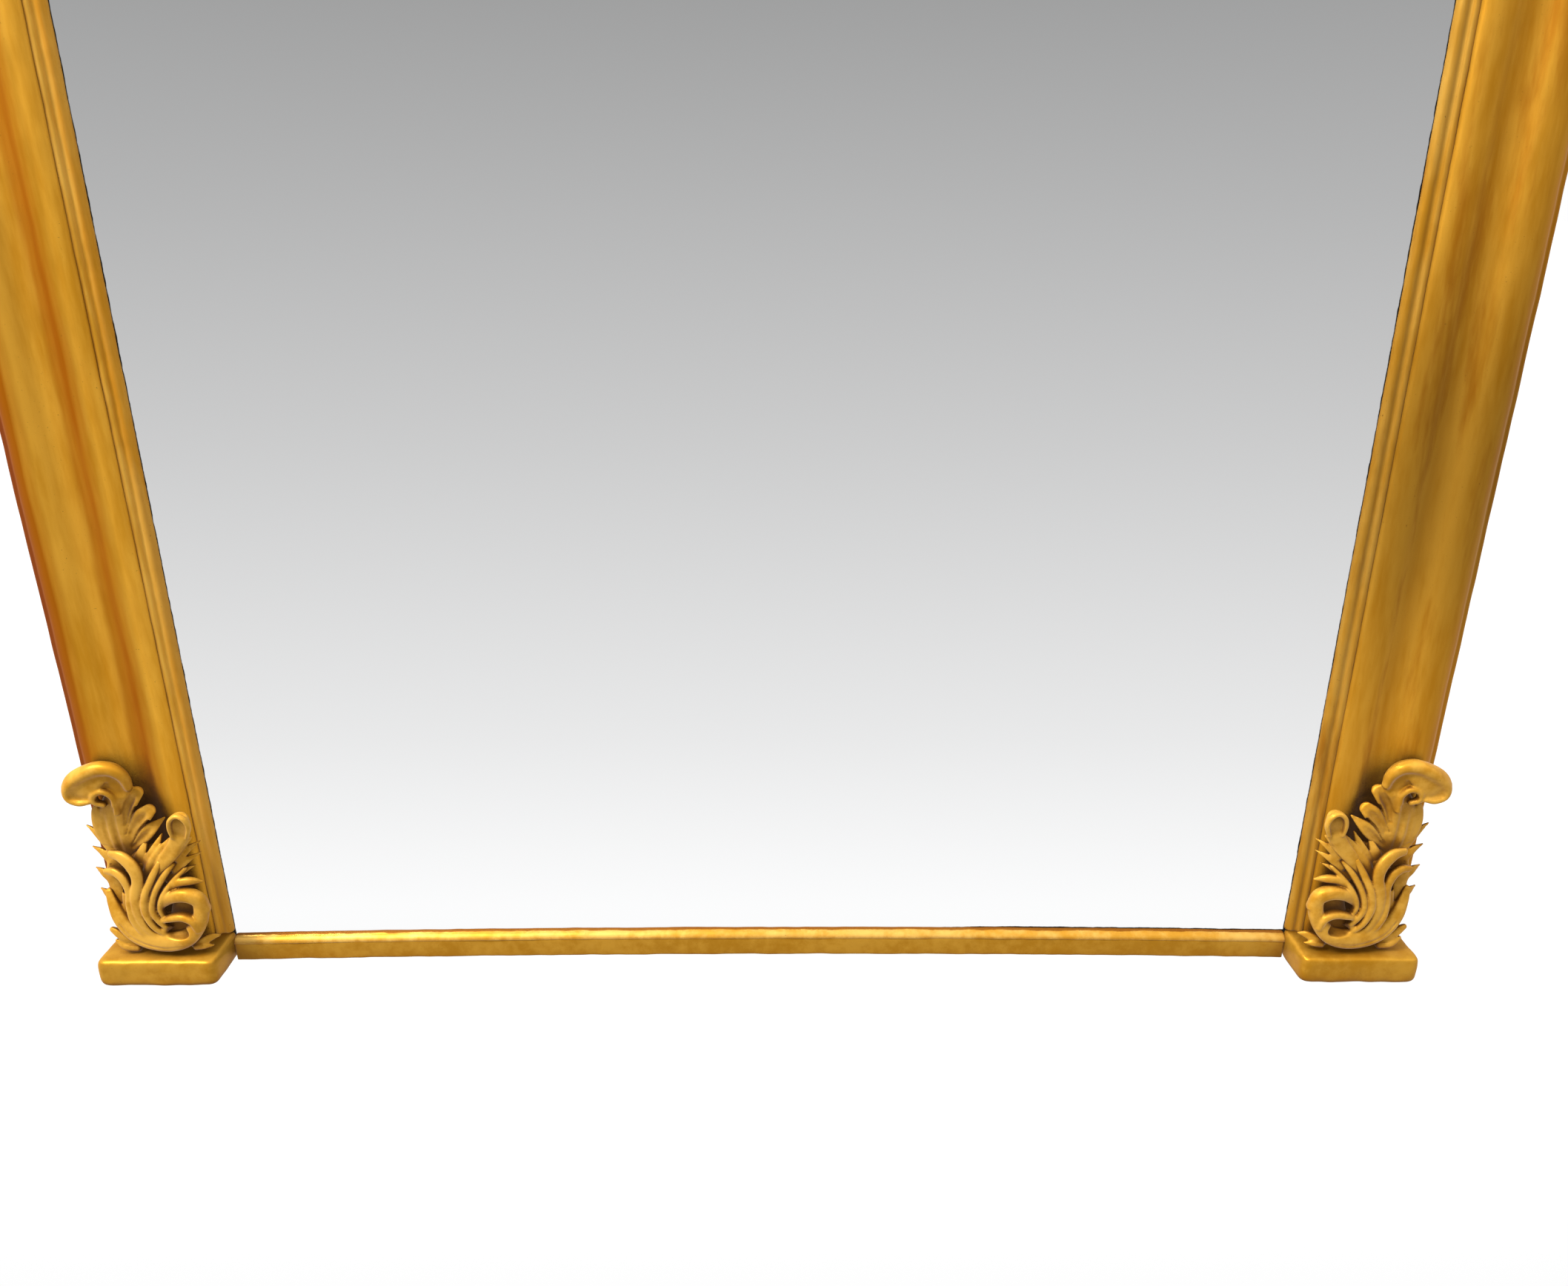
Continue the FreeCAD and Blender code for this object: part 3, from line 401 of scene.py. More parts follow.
def feed_shader(
    tree: NodeTree, shader: bpy.types.Node, group: bpy.types.Node, strength: float, depth: float,
) -> None:
    """Feed a shader from the colour, roughness and height of an effect group.

    Args:
        tree: Tree of the material.
        shader: Shader of the material.
        group: Placed effect group.
        strength: Strength of the bump.
        depth: Depth of the bump, in metres.
    """
    inputs = {"Strength": strength, "Distance": depth, "Height": group.outputs["Height"]}
    bump = tree.add("ShaderNodeBump", inputs)
    tree.link(group.outputs["Color"], shader.inputs["Base Color"])
    tree.link(group.outputs["Roughness"], shader.inputs["Roughness"])
    tree.link(bump.outputs[0], shader.inputs["Normal"])


@dataclass(frozen=True)
class Gilding:
    """Worn gold leaf over red bole.

    Bands give patina with painted shade, and crowns give painted highlights on the left rail, at shares of
    the rail's width, counted outwards from the sight edge. The bole shows from one of the rim's shares to
    the other, and painted black shade in deep gaps goes no further out than its own. The right rail is
    darker with painted shade and has a darker patch round one height, with its bands fainter and shifted
    and with a thin veil of painted shade. Clouds of patina have one strength on the left rail and another,
    stronger as painted shade, on the right one.
    """

    name: str
    leaf: Colour = (0.50, 0.220, 0.012)
    rubbed: Colour = (0.64, 0.325, 0.034)
    # Colour of the patina and of the painted shade in recesses, in the bands and over the right rail.
    patina: Colour = (0.300, 0.086, 0.001)
    bole: Colour = (0.20, 0.042, 0.008)
    # Colour of the grime specks, and also of the painted black shade in deep gaps.
    grime: Colour = (0.030, 0.011, 0.003)
    # Share of patina with painted shade in recesses.
    recess: float = 0.7
    edge: float = 0.7
    specks: float = 0.7
    # Share of painted black shade in deep gaps.
    deep: float = 1.0
    metallic: float = 0.5
    specular: float = 0.25
    glint: Colour = (1.0, 0.62, 0.16)
    bump: float = 0.35
    bump_depth: float = 0.0006
    # Patina with painted shade in bands across the rail, and painted highlights on the crowns of the left
    # rail.
    bands: tuple[tuple[float, float], ...] = ()
    crowns: tuple[tuple[float, float], ...] = ((0.0, 0.0), (1.0, 0.0))
    crown_highlight: float = 0.3
    # Painted shade over the whole right rail.
    dull: float = 0.0
    # A darker patch on the right rail, round one height.
    dark_patch: float = 0.0
    dark_patch_height: float = 0.54
    dark_patch_reach: float = 0.28
    dark_patch_core: float = 0.03
    side_blend: float = 0.4
    # On the right rail the bands are shifted and fainter, and a veil of painted shade lies over it.
    right_shift: float = 0.09
    right_bands: float = 0.35
    right_shade_veil: float = 0.18
    clouds: tuple[float, float] = (0.25, 0.8)
    rim: tuple[float, float] = (0.82, 0.98)
    deep_shade_end: tuple[float, float] = (0.86, 0.79)
    wander: float = 0.020
    # Darker colour on the part of a piece that lies close to the glass.
    dark_back: float = 0.0
    dark_back_from: float = 0.0045
    dark_back_whole: float = 0.0025
    dark_back_wander: float = 0.004

    def make(self, groups: EffectGroups) -> bpy.types.Material:
        """Build the material.

        Args:
            groups: Shared effect groups.

        Returns:
            The finished material.
        """
        material, tree, shader = new_material(self.name)
        golds = {"Leaf": self.leaf, "Rubbed": self.rubbed, "Patina": self.patina}
        shares = {"Recess": self.recess, "Edge": self.edge, "Specks": self.specks, "Deep": self.deep}
        group = tree.add("ShaderNodeGroup", node_tree=groups.gilding)
        for name, colour in (golds | {"Bole": self.bole, "Grime": self.grime}).items():
            group.inputs[name].default_value = (*colour, 1.0)
        for name, share in shares.items():
            group.inputs[name].default_value = share
        if self.bands:
            rail = tree.add("ShaderNodeGroup", node_tree=groups.across)
            banded = self._band_shade(tree, rail.outputs["Across"], rail.outputs["Along"])
            for name, given in zip(("Shade", "Bare", "Deep"), banded):
                tree.link(given, group.inputs[name])
            # Painted highlights and painted shade scale the gold's colours.
            tone = self._painted_light_and_shade(tree, rail.outputs["Across"])
            for name, colour in golds.items():
                toned = tree.add("ShaderNodeVectorMath", {0: colour, "Scale": tone}, operation="SCALE")
                tree.link(toned.outputs[0], group.inputs[name])
            tree.link(rail.outputs["Along"], group.inputs["Place"])
        else:
            tree.link(tree.place(), group.inputs["Place"])
        if self.dark_back:
            tree.link(self._back_shade(tree), group.inputs["Shade"])
        feed_shader(tree, shader, group, self.bump, self.bump_depth)
        shader.inputs["Metallic"].default_value = self.metallic
        shader.inputs["Specular IOR Level"].default_value = self.specular
        shader.inputs["Specular Tint"].default_value = (*self.glint, 1.0)
        return material

    def _back_shade(self, tree: NodeTree) -> Socket:
        """Darker colour that lies close to the glass.

        Args:
            tree: Tree of the material.

        Returns:
            The share of the darker colour.
        """
        depth = tree.coordinates()[1]
        ragged = tree.times(tree.noise(tree.place(), 60.0, 4.0, 0.6), self.dark_back_wander)
        start = SIZES.glass_front - self.dark_back_from
        near = tree.smooth(tree.plus(depth, ragged), start, SIZES.glass_front - self.dark_back_whole)
        return tree.times(near, self.dark_back)

    def _by_side(self, tree: NodeTree, on_left: float, on_right: float) -> Socket:
        """Value eased from one figure on the left rail to another on the right one."""
        return tree.smooth(tree.coordinates()[0], -self.side_blend, self.side_blend, on_left, on_right)

    def _painted_light_and_shade(self, tree: NodeTree, across: Socket) -> Socket:
        """Brightness of the gold: painted highlights on the crowns of the left rail, painted shade over the
        right rail and a darker patch half way up it.

        Args:
            tree: Tree of the material.
            across: Distance outwards from the sight edge.

        Returns:
            What the gold's colours are multiplied by.
        """
        crown = tree.ramp(tree.over(across, SIZES.rail_width), self.crowns, "EASE")
        height = tree.coordinates()[2]
        away = tree.math("ABSOLUTE", tree.minus(height, self.dark_patch_height))
        lost = tree.smooth(away, self.dark_patch_reach, self.dark_patch_core, self.dull, self.dull + self.dark_patch)
        kept = tree.minus(1.0, tree.times(self._by_side(tree, 0.0, 1.0), lost))
        # Painted highlights on the crowns, on the left rail only.
        gained = tree.times(crown, self._by_side(tree, self.crown_highlight, 0.0))
        return tree.times(kept, tree.plus(1.0, gained))

    def _band_shade(self, tree: NodeTree, across: Socket, along: Socket) -> tuple[Socket, Socket, Socket]:
        """Patina with painted shade that lies in bands along the rail, bole along its outer edge, and how far
        painted black shade reaches.

        Args:
            tree: Tree of the material.
            across: Distance outwards from the sight edge.
            along: Place stretched along the rail.

        Returns:
            The shares of patina with painted shade, bole and painted black shade at each distance from the
            sight edge.
        """
        drift = tree.noise(along, 22.0, 3.0, 0.55)
        wander = tree.times(tree.minus(drift, 0.5), self.wander)
        share = tree.over(tree.plus(across, wander), SIZES.rail_width)
        shift = self._by_side(tree, 0.0, self.right_shift)
        band = tree.ramp(tree.minus(share, shift), self.bands, "EASE")
        patchy = tree.plus(0.55, tree.times(tree.noise(along, 40.0, 4.0, 0.6), 0.85))
        laid = tree.times(patchy, self._by_side(tree, 1.0, self.right_bands))
        plain = tree.over(across, SIZES.rail_width)
        red = tree.times(patchy, self._by_side(tree, 1.0, 0.0))
        rim = tree.times(tree.smooth(plain, *self.rim), red)
        deep_shade = tree.times(tree.smooth(plain, *self.deep_shade_end), self.deep)
        # Clouds of patina, stronger on the right rail as painted shade, under a veil of painted shade there.
        cloud = tree.smooth(tree.noise(along, 30.0, 5.0, 0.6), 0.42, 0.72)
        cloud = tree.times(cloud, self._by_side(tree, *self.clouds))
        cloud = tree.most(cloud, self._by_side(tree, 0.0, self.right_shade_veil))
        return tree.most(tree.times(band, laid), cloud), rim, deep_shade


@dataclass(frozen=True)
class OldPine:
    """Bare aged softwood of the carcass and back."""

    name: str
    grain: Grain
    early: Colour = (0.235, 0.135, 0.060)
    late: Colour = (0.135, 0.066, 0.026)
    grime: Colour = (0.075, 0.043, 0.022)
    shift: float = 0.0
    bump: float = 0.4
    bump_depth: float = 0.0008

    def make(self, groups: EffectGroups) -> bpy.types.Material:
        """Build the material.

        Args:
            groups: Shared effect groups.

        Returns:
            The finished material.
        """
        material, tree, shader = new_material(self.name)
        shift = (self.shift, self.shift, self.shift)
        inputs = {0: tree.place(), 1: self.grain.value, 2: shift}
        stretched = tree.add("ShaderNodeVectorMath", inputs, operation="MULTIPLY_ADD")
        group = tree.add("ShaderNodeGroup", node_tree=groups.grain)
        tree.link(stretched.outputs[0], group.inputs["Place"])
        for name, given in (("Early", self.early), ("Late", self.late), ("Grime", self.grime)):
            group.inputs[name].default_value = (*given, 1.0)
        feed_shader(tree, shader, group, self.bump, self.bump_depth)
        return material


@dataclass(frozen=True)
class SilveredGlass:
    """Mirror plate with a painted reflection, a ragged dark line of the slips' dark back edges, beside the
    upright slips and half of the bottom one.
    """

    name: str
    silver: Colour = (0.86, 0.862, 0.865)
    painted_dark: Colour = (0.012, 0.010, 0.008)
    line_width: float = 0.0008
    raggedness: float = 2.5
    hidden_share: float = 0.38
    whole_from: float = 0.5
    fade_lift: float = 0.006

    def make(self, groups: EffectGroups) -> bpy.types.Material:
        """Build the material.

        Args:
            groups: Shared effect groups.

        Returns:
            The finished material.
        """
        material, tree, shader = new_material(self.name)
        group = tree.add("ShaderNodeGroup", node_tree=groups.across)
        part = tree.over(tree.coordinates()[0], SIZES.half_sight)
        bow = tree.times(tree.minus(1.0, tree.times(part, part)), RAIL_BOW)
        above = tree.minus(tree.minus(group.outputs["Above"], bow), GROUND_SWELL)
        above = tree.plus(above, tree.smooth(part, self.whole_from, 0.0, 0.0, self.fade_lift))
        # Painted reflection of the slips' dark back edges along the sight edge.
        edge = tree.math("MINIMUM", tree.times(group.outputs["Across"], -1.0), above)
        ragged = tree.minus(tree.noise(tree.place(), 70.0, 3.0, 0.6), self.hidden_share)
        waver = tree.times(ragged, self.line_width * self.raggedness)
        clear = tree.smooth(tree.minus(edge, waver), 0.0, self.line_width)
        colour = tree.mix(clear, self.painted_dark, self.silver)
        tree.link(colour, shader.inputs["Base Color"])
        shader.inputs["Metallic"].default_value = 1.0
        cloud = tree.smooth(tree.noise(tree.place(), 5.0, 4.0, 0.6), 0.35, 0.75)
        tree.link(tree.times(cloud, 0.02), shader.inputs["Roughness"])
        return material


@dataclass(frozen=True)
class OldMetal:
    """Dull metal of the hangers, screws and brads."""

    name: str
    bright: Colour
    dull: Colour
    roughness: float = 0.38

    def make(self) -> bpy.types.Material:
        """Build the material.

        Returns:
            The finished material.
        """
        material, tree, shader = new_material(self.name)
        tarnish = tree.smooth(tree.noise(tree.place(), 260.0, 5.0, 0.65), 0.36, 0.66)
        tree.link(tree.mix(tarnish, self.bright, self.dull), shader.inputs["Base Color"])
        rough = tree.plus(self.roughness, tree.times(tarnish, 0.25))
        tree.link(rough, shader.inputs["Roughness"])
        bump = tree.add("ShaderNodeBump", {"Strength": 0.25, "Distance": 0.0002, "Height": tarnish})
        tree.link(bump.outputs[0], shader.inputs["Normal"])
        shader.inputs["Metallic"].default_value = 1.0
        return material


# Least width and depth of a blade, in millimetres.
THINNEST = 1.4
# Length of the bead at a station, in spacings, so that the beads of a blade run together.
BEAD_LENGTH = 1.3
# Where the hollow of a cupped blade ends, as the square of half widths from its middle.
CUP_END = 1.3
# How far past its own size a bead is felt, and the room that the grid leaves round the blades.
BEAD_REACH = 5.0
GRID_ROOM = 6.0


@dataclass
class Blade:
    """One carved rib, lobe or curl, laid along stations in millimetres.

    A station is across, up, ahead, width and depth. The path and both sizes run smoothly
    through the stations. The cup is how far the middle of the front lies behind its edges,
    and the blend is how softly the blade runs into those already laid.
    """

    stations: list[Station]
    cup: float = 0.0
    blend: float = 2.5
    spacing: float = 1.5

    def samples(self) -> np.ndarray:
        """Evenly spaced stations on a smooth curve through the given ones.

        Returns:
            One row for each station, as across, up, ahead, width and depth.
        """
        given = np.array(self.stations, float)
        ends = np.vstack([2 * given[0] - given[1], given, 2 * given[-1] - given[-2]])
        rows = [given[0]]
        for index in range(len(given) - 1):
            before, start, end, after = ends[index:index + 4]
            count = max(2, int(np.linalg.norm((end - start)[:3]) / self.spacing))
            for step in range(1, count + 1):
                t = step / count
                rows.append(0.5 * (
                    2 * start + (end - before) * t + (2 * before - 5 * start + 4 * end - after) * t ** 2
                    + (3 * start - before - 3 * end + after) * t ** 3
                ))
        samples = np.array(rows)
        samples[:, 3:] = np.maximum(samples[:, 3:], THINNEST)
        return samples


@dataclass
class Clay:
    """Grid of distances to a surface that blades are laid on and gouges cut from, in millimetres."""

    low: np.ndarray
    high: np.ndarray
    cell: float = 0.9
    far: float = 30.0

    def __post_init__(self) -> None:
        """Start with an empty grid."""
        self.axes = [np.arange(self.low[i], self.high[i] + self.cell, self.cell) for i in range(3)]
        self.field = np.full([len(axis) for axis in self.axes], self.far, np.float32)

    @classmethod
    def around(cls, blades: list[Blade], cell: float) -> "Clay":
        """Empty grid that has room for the blades.

        Args:
            blades: Blades that will be laid.
            cell: Size of the grid's cells, in millimetres.

        Returns:
            The new clay.
        """
        rows = np.vstack([blade.samples() for blade in blades])
        room = rows[:, 3:].max(axis=1)[:, None] / 2 + GRID_ROOM
        return cls((rows[:, :3] - room).min(axis=0), (rows[:, :3] + room).max(axis=0), cell)

    def _distance(self, blade: Blade) -> np.ndarray:
        """Distance from every grid point to a blade.

        Args:
            blade: Blade to measure to.

        Returns:
            The distances, below zero inside the blade.
        """
        rows = blade.samples()
        way = np.gradient(rows[:, :3], axis=0)
        way /= np.linalg.norm(way, axis=1)[:, None]
        front = np.array([0.0, 0.0, 1.0]) - way[:, 2:3] * way
        front /= np.linalg.norm(front, axis=1)[:, None]
        aside = np.cross(way, front)
        near = np.full(self.field.shape, self.far, np.float32)
        for row, on_way, to_front, to_side in zip(rows, way, front, aside):
            wide, deep = row[3] / 2, row[4] / 2
            long = max(min(wide, deep), BEAD_LENGTH * blade.spacing)
            reach = max(wide, deep, long) + blade.cup + BEAD_REACH
            cut = tuple(
                slice(max(int((row[i] - reach - self.low[i]) / self.cell), 0),
                      max(int((row[i] + reach - self.low[i]) / self.cell) + 2, 0))
                for i in range(3)
            )
            x = (self.axes[0][cut[0]] - row[0])[:, None, None]
            y = (self.axes[1][cut[1]] - row[1])[None, :, None]
            z = (self.axes[2][cut[2]] - row[2])[None, None, :]
            side = (x * to_side[0] + y * to_side[1] + z * to_side[2]) / wide
            ahead = x * to_front[0] + y * to_front[1] + z * to_front[2]
            ahead = (ahead + blade.cup * (1.0 - np.minimum(side ** 2, CUP_END))) / deep
            along = (x * on_way[0] + y * on_way[1] + z * on_way[2]) / long
            size = np.sqrt(side ** 2 + ahead ** 2 + along ** 2)
            slope = np.sqrt((side / wide) ** 2 + (ahead / deep) ** 2 + (along / long) ** 2) + 1e-6
            near[cut] = np.minimum(near[cut], size * (size - 1.0) / slope)
        return near

    @staticmethod
    def _soft_least(first: np.ndarray, second: np.ndarray, blend: float) -> np.ndarray:
        """Smaller of two distances, eased where they are within the blend of each other."""
        share = np.clip(0.5 + 0.5 * (second - first) / blend, 0.0, 1.0)
        return second + (first - second) * share - blend * share * (1.0 - share)

    def lay(self, blade: Blade) -> None:
        """Add a blade."""
        self.field = self._soft_least(self.field, self._distance(blade), blade.blend)

    def gouge(self, blade: Blade) -> None:
        """Cut a blade's shape away."""
        self.field = -self._soft_least(-self.field, self._distance(blade), blade.blend)

    @staticmethod
    def _cells_round(
        hit: np.ndarray, axis: int, steps: tuple[tuple[int, int], ...],
    ) -> list[tuple[np.ndarray, ...]]:
        """Cells that meet at grid edges.

        Args:
            hit: Grid points that the edges start from.
            axis: Axis that the edges run along.
            steps: How far back each cell lies on the next axis and on the one after it.

        Returns:
            The cells' indices, for each of the steps.
        """
        cells = []
        for next_step, last_step in steps:
            cell = hit.copy()
            cell[:, (axis + 1) % 3] -= next_step
            cell[:, (axis + 2) % 3] -= last_step
            cells.append(tuple(cell.T))
        return cells

    def surface(self) -> tuple[np.ndarray, np.ndarray]:
        """Skin of the clay.

        Returns:
            Corners (across, up, ahead) in millimetres and faces of four corners.
        """
        field = self.field
        size = np.array(field.shape) - 1
        total = np.zeros((*size, 3), np.float32)
        count = np.zeros(size, np.int32)
        index = np.indices(field.shape).transpose(1, 2, 3, 0).astype(np.float32)
        crossings = []
        for axis in range(3):
            first = np.take(field, range(size[axis]), axis)
            second = np.take(field, range(1, size[axis] + 1), axis)
            hit = np.argwhere((first < 0) != (second < 0))
            hit = hit[np.all((hit > 0) & (hit < size), axis=1)]
            where = tuple(hit.T)
            place = index[where].copy()
            place[:, axis] += first[where] / (first[where] - second[where])
            for cell in self._cells_round(hit, axis, ((0, 0), (1, 0), (1, 1), (0, 1))):
                np.add.at(total, cell, place)
                np.add.at(count, cell, 1)
            crossings.append((hit, axis, first[where] < 0))
        used = count > 0
        number = np.full(size, -1, np.int64)
        number[used] = np.arange(used.sum())
        corners = total[used] / count[used][:, None] * self.cell + self.low
        faces = []
        for hit, axis, outward in crossings:
            ring = self._cells_round(hit, axis, ((1, 1), (0, 1), (0, 0), (1, 0)))
            quads = np.stack([number[cell] for cell in ring], axis=1)
            quads[~outward] = quads[~outward][:, ::-1]
            faces.append(quads)
        return corners, np.vstack(faces)


def carve(name: str, blades: list[Blade], gouges: list[Blade], cell: float, smoothing: int) -> bpy.types.Mesh:
    """Model blades into one closed carved mesh, still in millimetres (across, up, ahead).

    Args:
        name: Name of the mesh.
        blades: Ribs, lobes and curls that make up the piece.
        gouges: Cuts made after all blades are laid.
        cell: Size of the grid's cells, in millimetres.
        smoothing: Rounds of smoothing of the skin.

    Returns:
        The carved mesh.
    """
    clay = Clay.around(blades, cell)
    for blade in blades:
        clay.lay(blade)
    for cut in gouges:
        clay.gouge(cut)
    corners, faces = clay.surface()
    mesh = bpy.data.meshes.new(name)
    mesh.from_pydata(corners.tolist(), [], faces.tolist())
    skin = bmesh.new()
    skin.from_mesh(mesh)
    for _ in range(smoothing):
        bmesh.ops.smooth_vert(
            skin, verts=skin.verts, factor=0.5, use_axis_x=True, use_axis_y=True, use_axis_z=True,
        )
    skin.to_mesh(mesh)
    skin.free()
    return mesh


@dataclass
class Carver:
    """Places carved meshes in the frame and dresses them."""

    gold: bpy.types.Material
    slot: str = "gilt_ornament"
    body: str = "frame"

    def place(self, name: str, source: bpy.types.Mesh, setting: Matrix, nodes: list[str]) -> bpy.types.Object:
        """Copy a carved mesh into the frame.

        Args:
            name: Name of the piece.
            source: Carved mesh (across, up, ahead) in millimetres.
            setting: Matrix from carved millimetres to the shared frame.
            nodes: CAD nodes that the piece stands for.

        Returns:
            The new piece.
        """
        mesh = source.copy()
        mesh.name = name
        mesh.transform(setting)
        if setting.determinant() < 0:
            mesh.flip_normals()
        mesh.polygons.foreach_set("use_smooth", [True] * len(mesh.polygons))
        mesh.materials.clear()
        mesh.materials.append(self.gold)
        piece = bpy.data.objects.new(name, mesh)
        bpy.context.scene.collection.objects.link(piece)
        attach(piece, self.body)
        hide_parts(*nodes)
        LOG.info("%s: %d faces", name, len(mesh.polygons))
        return piece


def setting_from_axes(across: Vector, up: Vector, ahead: Vector, origin: Vector) -> Matrix:
    """Matrix that sends carved millimetres to the frame along three directions.

    Args:
        across: Direction of the first carved axis.
        up: Direction of the second.
        ahead: Direction of the third.
        origin: Place of the carved origin, in metres.

    Returns:
        The matrix.
    """
    matrix = Matrix.Identity(4)
    for column, axis in enumerate((across, up, ahead)):
        for row in range(3):
            matrix[row][column] = axis[row] * MM
    for row in range(3):
        matrix[row][3] = origin[row]
    return matrix


# Blades of the acanthus leaves in the order that they are laid, the cuts made in them afterwards,
# and the roots that they have on the crest.

# Tall leaf whose top rolls over outwards into a spoon, with rounded lobes on its inner side.
CROOK_LEAF = [
    Blade([
        (37, 112, 29, 25, 12), (37, 138, 33, 29, 13), (37, 157, 35, 28, 14), (43, 175, 38, 24, 15),
        (52, 190, 41, 20, 16),
    ], 2.0),
    Blade([(21, 128, 31, 9, 9), (19, 149, 34, 9, 9), (22, 166, 37, 8, 8), (26, 176, 40, 4, 6)], 1.5),
    Blade([
        (44, 146, 33, 9, 9), (54, 169, 37, 14, 10), (63, 183, 40, 16, 10), (70, 191, 39, 13, 8),
    ], 3.0, 1.2),
    Blade([
        (46, 132, 32, 9, 9), (60, 153, 36, 16, 10), (70, 163, 38, 17, 10), (77, 169, 36, 13, 8),
    ], 3.0, 1.2),
    Blade([(46, 120, 31, 9, 9), (62, 136, 34, 15, 10), (73, 146, 35, 13, 8), (85, 155, 30, 3, 3)], 2.8, 1.2),
    Blade([
        (54, 186, 40, 18, 16), (58, 202, 43, 18, 17), (53, 214, 46, 20, 18), (43, 217, 48, 23, 19),
        (32, 211, 48, 29, 22), (23, 204, 48, 33, 22), (18, 198, 48, 32, 20), (17, 194, 48, 28, 18),
    ], 5.0),
    Blade([(12, 195, 44, 16, 12), (24, 190, 44, 14, 12)], 0.0, 3.0),
    Blade([(40, 205, 42, 18, 12), (54, 200, 41, 16, 12)], 0.0, 3.0),
    Blade([
        (66, 199, 44, 6, 9), (64, 212, 47, 10, 11), (55, 221, 50, 12, 12), (41, 222, 52, 13, 12),
        (27, 216, 53, 12, 12), (14, 206, 52, 10, 11), (8, 197, 51, 8, 10), (9, 189, 51, 7, 9),
        (18, 185, 51, 7, 9), (28, 186, 51, 5, 8),
    ], 0.0, 4.0),
    Blade([
        (47, 170, 42, 8, 10), (50, 188, 46, 7, 10), (43, 197, 49, 7, 10), (34, 194, 50, 7, 10),
        (33, 185, 49, 7, 9), (39, 181, 47, 6, 8),
    ], 0.0, 2.0),
]
CROOK_CUTS = [
    Blade([(30, 114, 37, 5, 8), (28, 138, 40, 7, 9), (30, 158, 43, 6, 9), (35, 174, 48, 3, 6)], blend=2.0),
    Blade([(39, 112, 37, 5, 8), (38, 138, 40, 7, 9), (40, 158, 43, 6, 9), (46, 176, 48, 3, 6)], blend=2.0),
    Blade([(46, 116, 38, 4, 7), (48, 138, 41, 5, 8), (51, 158, 44, 4, 8), (56, 174, 48, 3, 6)], blend=2.0),
    Blade([(37, 188, 54, 5, 22), (39, 189, 54, 5, 22)], blend=1.2),
    Blade([(49, 152, 40, 3, 9), (56, 170, 42, 7, 10), (64, 183, 44, 8, 10), (68, 188, 44, 5, 7)], blend=2.0),
    Blade([(51, 140, 39, 3, 9), (61, 153, 41, 7, 10), (70, 162, 42, 8, 10), (75, 167, 42, 5, 7)], blend=2.0),
    Blade([(50, 124, 37, 3, 9), (63, 136, 39, 7, 10), (73, 145, 39, 5, 7)], blend=2.0),
    Blade([(47, 140, 41, 2, 12), (56, 159, 43, 3, 14), (65, 173, 43, 3, 14)], blend=1.0),
    Blade([(49, 126, 39, 2, 12), (61, 144, 41, 3, 14), (74, 157, 41, 3, 14)], blend=1.0),
]
CROOK_ROOT = [
    Blade([(30, 118, 14, 18, 24), (36, 150, 16, 22, 26), (45, 182, 19, 20, 28), (44, 208, 24, 16, 26)]),
]

# Leaf behind the scroll, with sharp tips on the outer side.
OUTER_LEAF = [
    Blade([
        (34, 118, 30, 18, 11), (27, 96, 33, 20, 11), (25, 75, 32, 20, 11), (26, 54, 33, 18, 12),
        (30, 40, 35, 14, 12),
    ], 1.5),
    Blade([(32, 112, 31, 14, 9), (21, 129, 31, 10, 8), (12, 140, 30, 6, 6), (3, 145, 27, 1, 3)], 1.6, 1.5),
    Blade([(28, 100, 31, 13, 9), (17, 115, 31, 9, 7), (4, 120, 27, 1, 3)], 1.6, 1.5),
    Blade([(25, 80, 32, 13, 9), (13, 92, 32, 9, 7), (2, 95, 27, 1, 3)], 1.6, 1.5),
    Blade([(25, 58, 34, 13, 9), (13, 68, 34, 9, 7), (3, 71, 29, 1, 3)], 1.6, 1.5),
]
OUTER_CUTS = [
    Blade([(33, 73, 40, 4, 34), (35, 83, 40, 5, 34)], blend=1.0),
]
OUTER_ROOT = [
    Blade([(34, 58, 13, 14, 24), (30, 90, 13, 18, 24), (32, 120, 13, 14, 24)]),
]

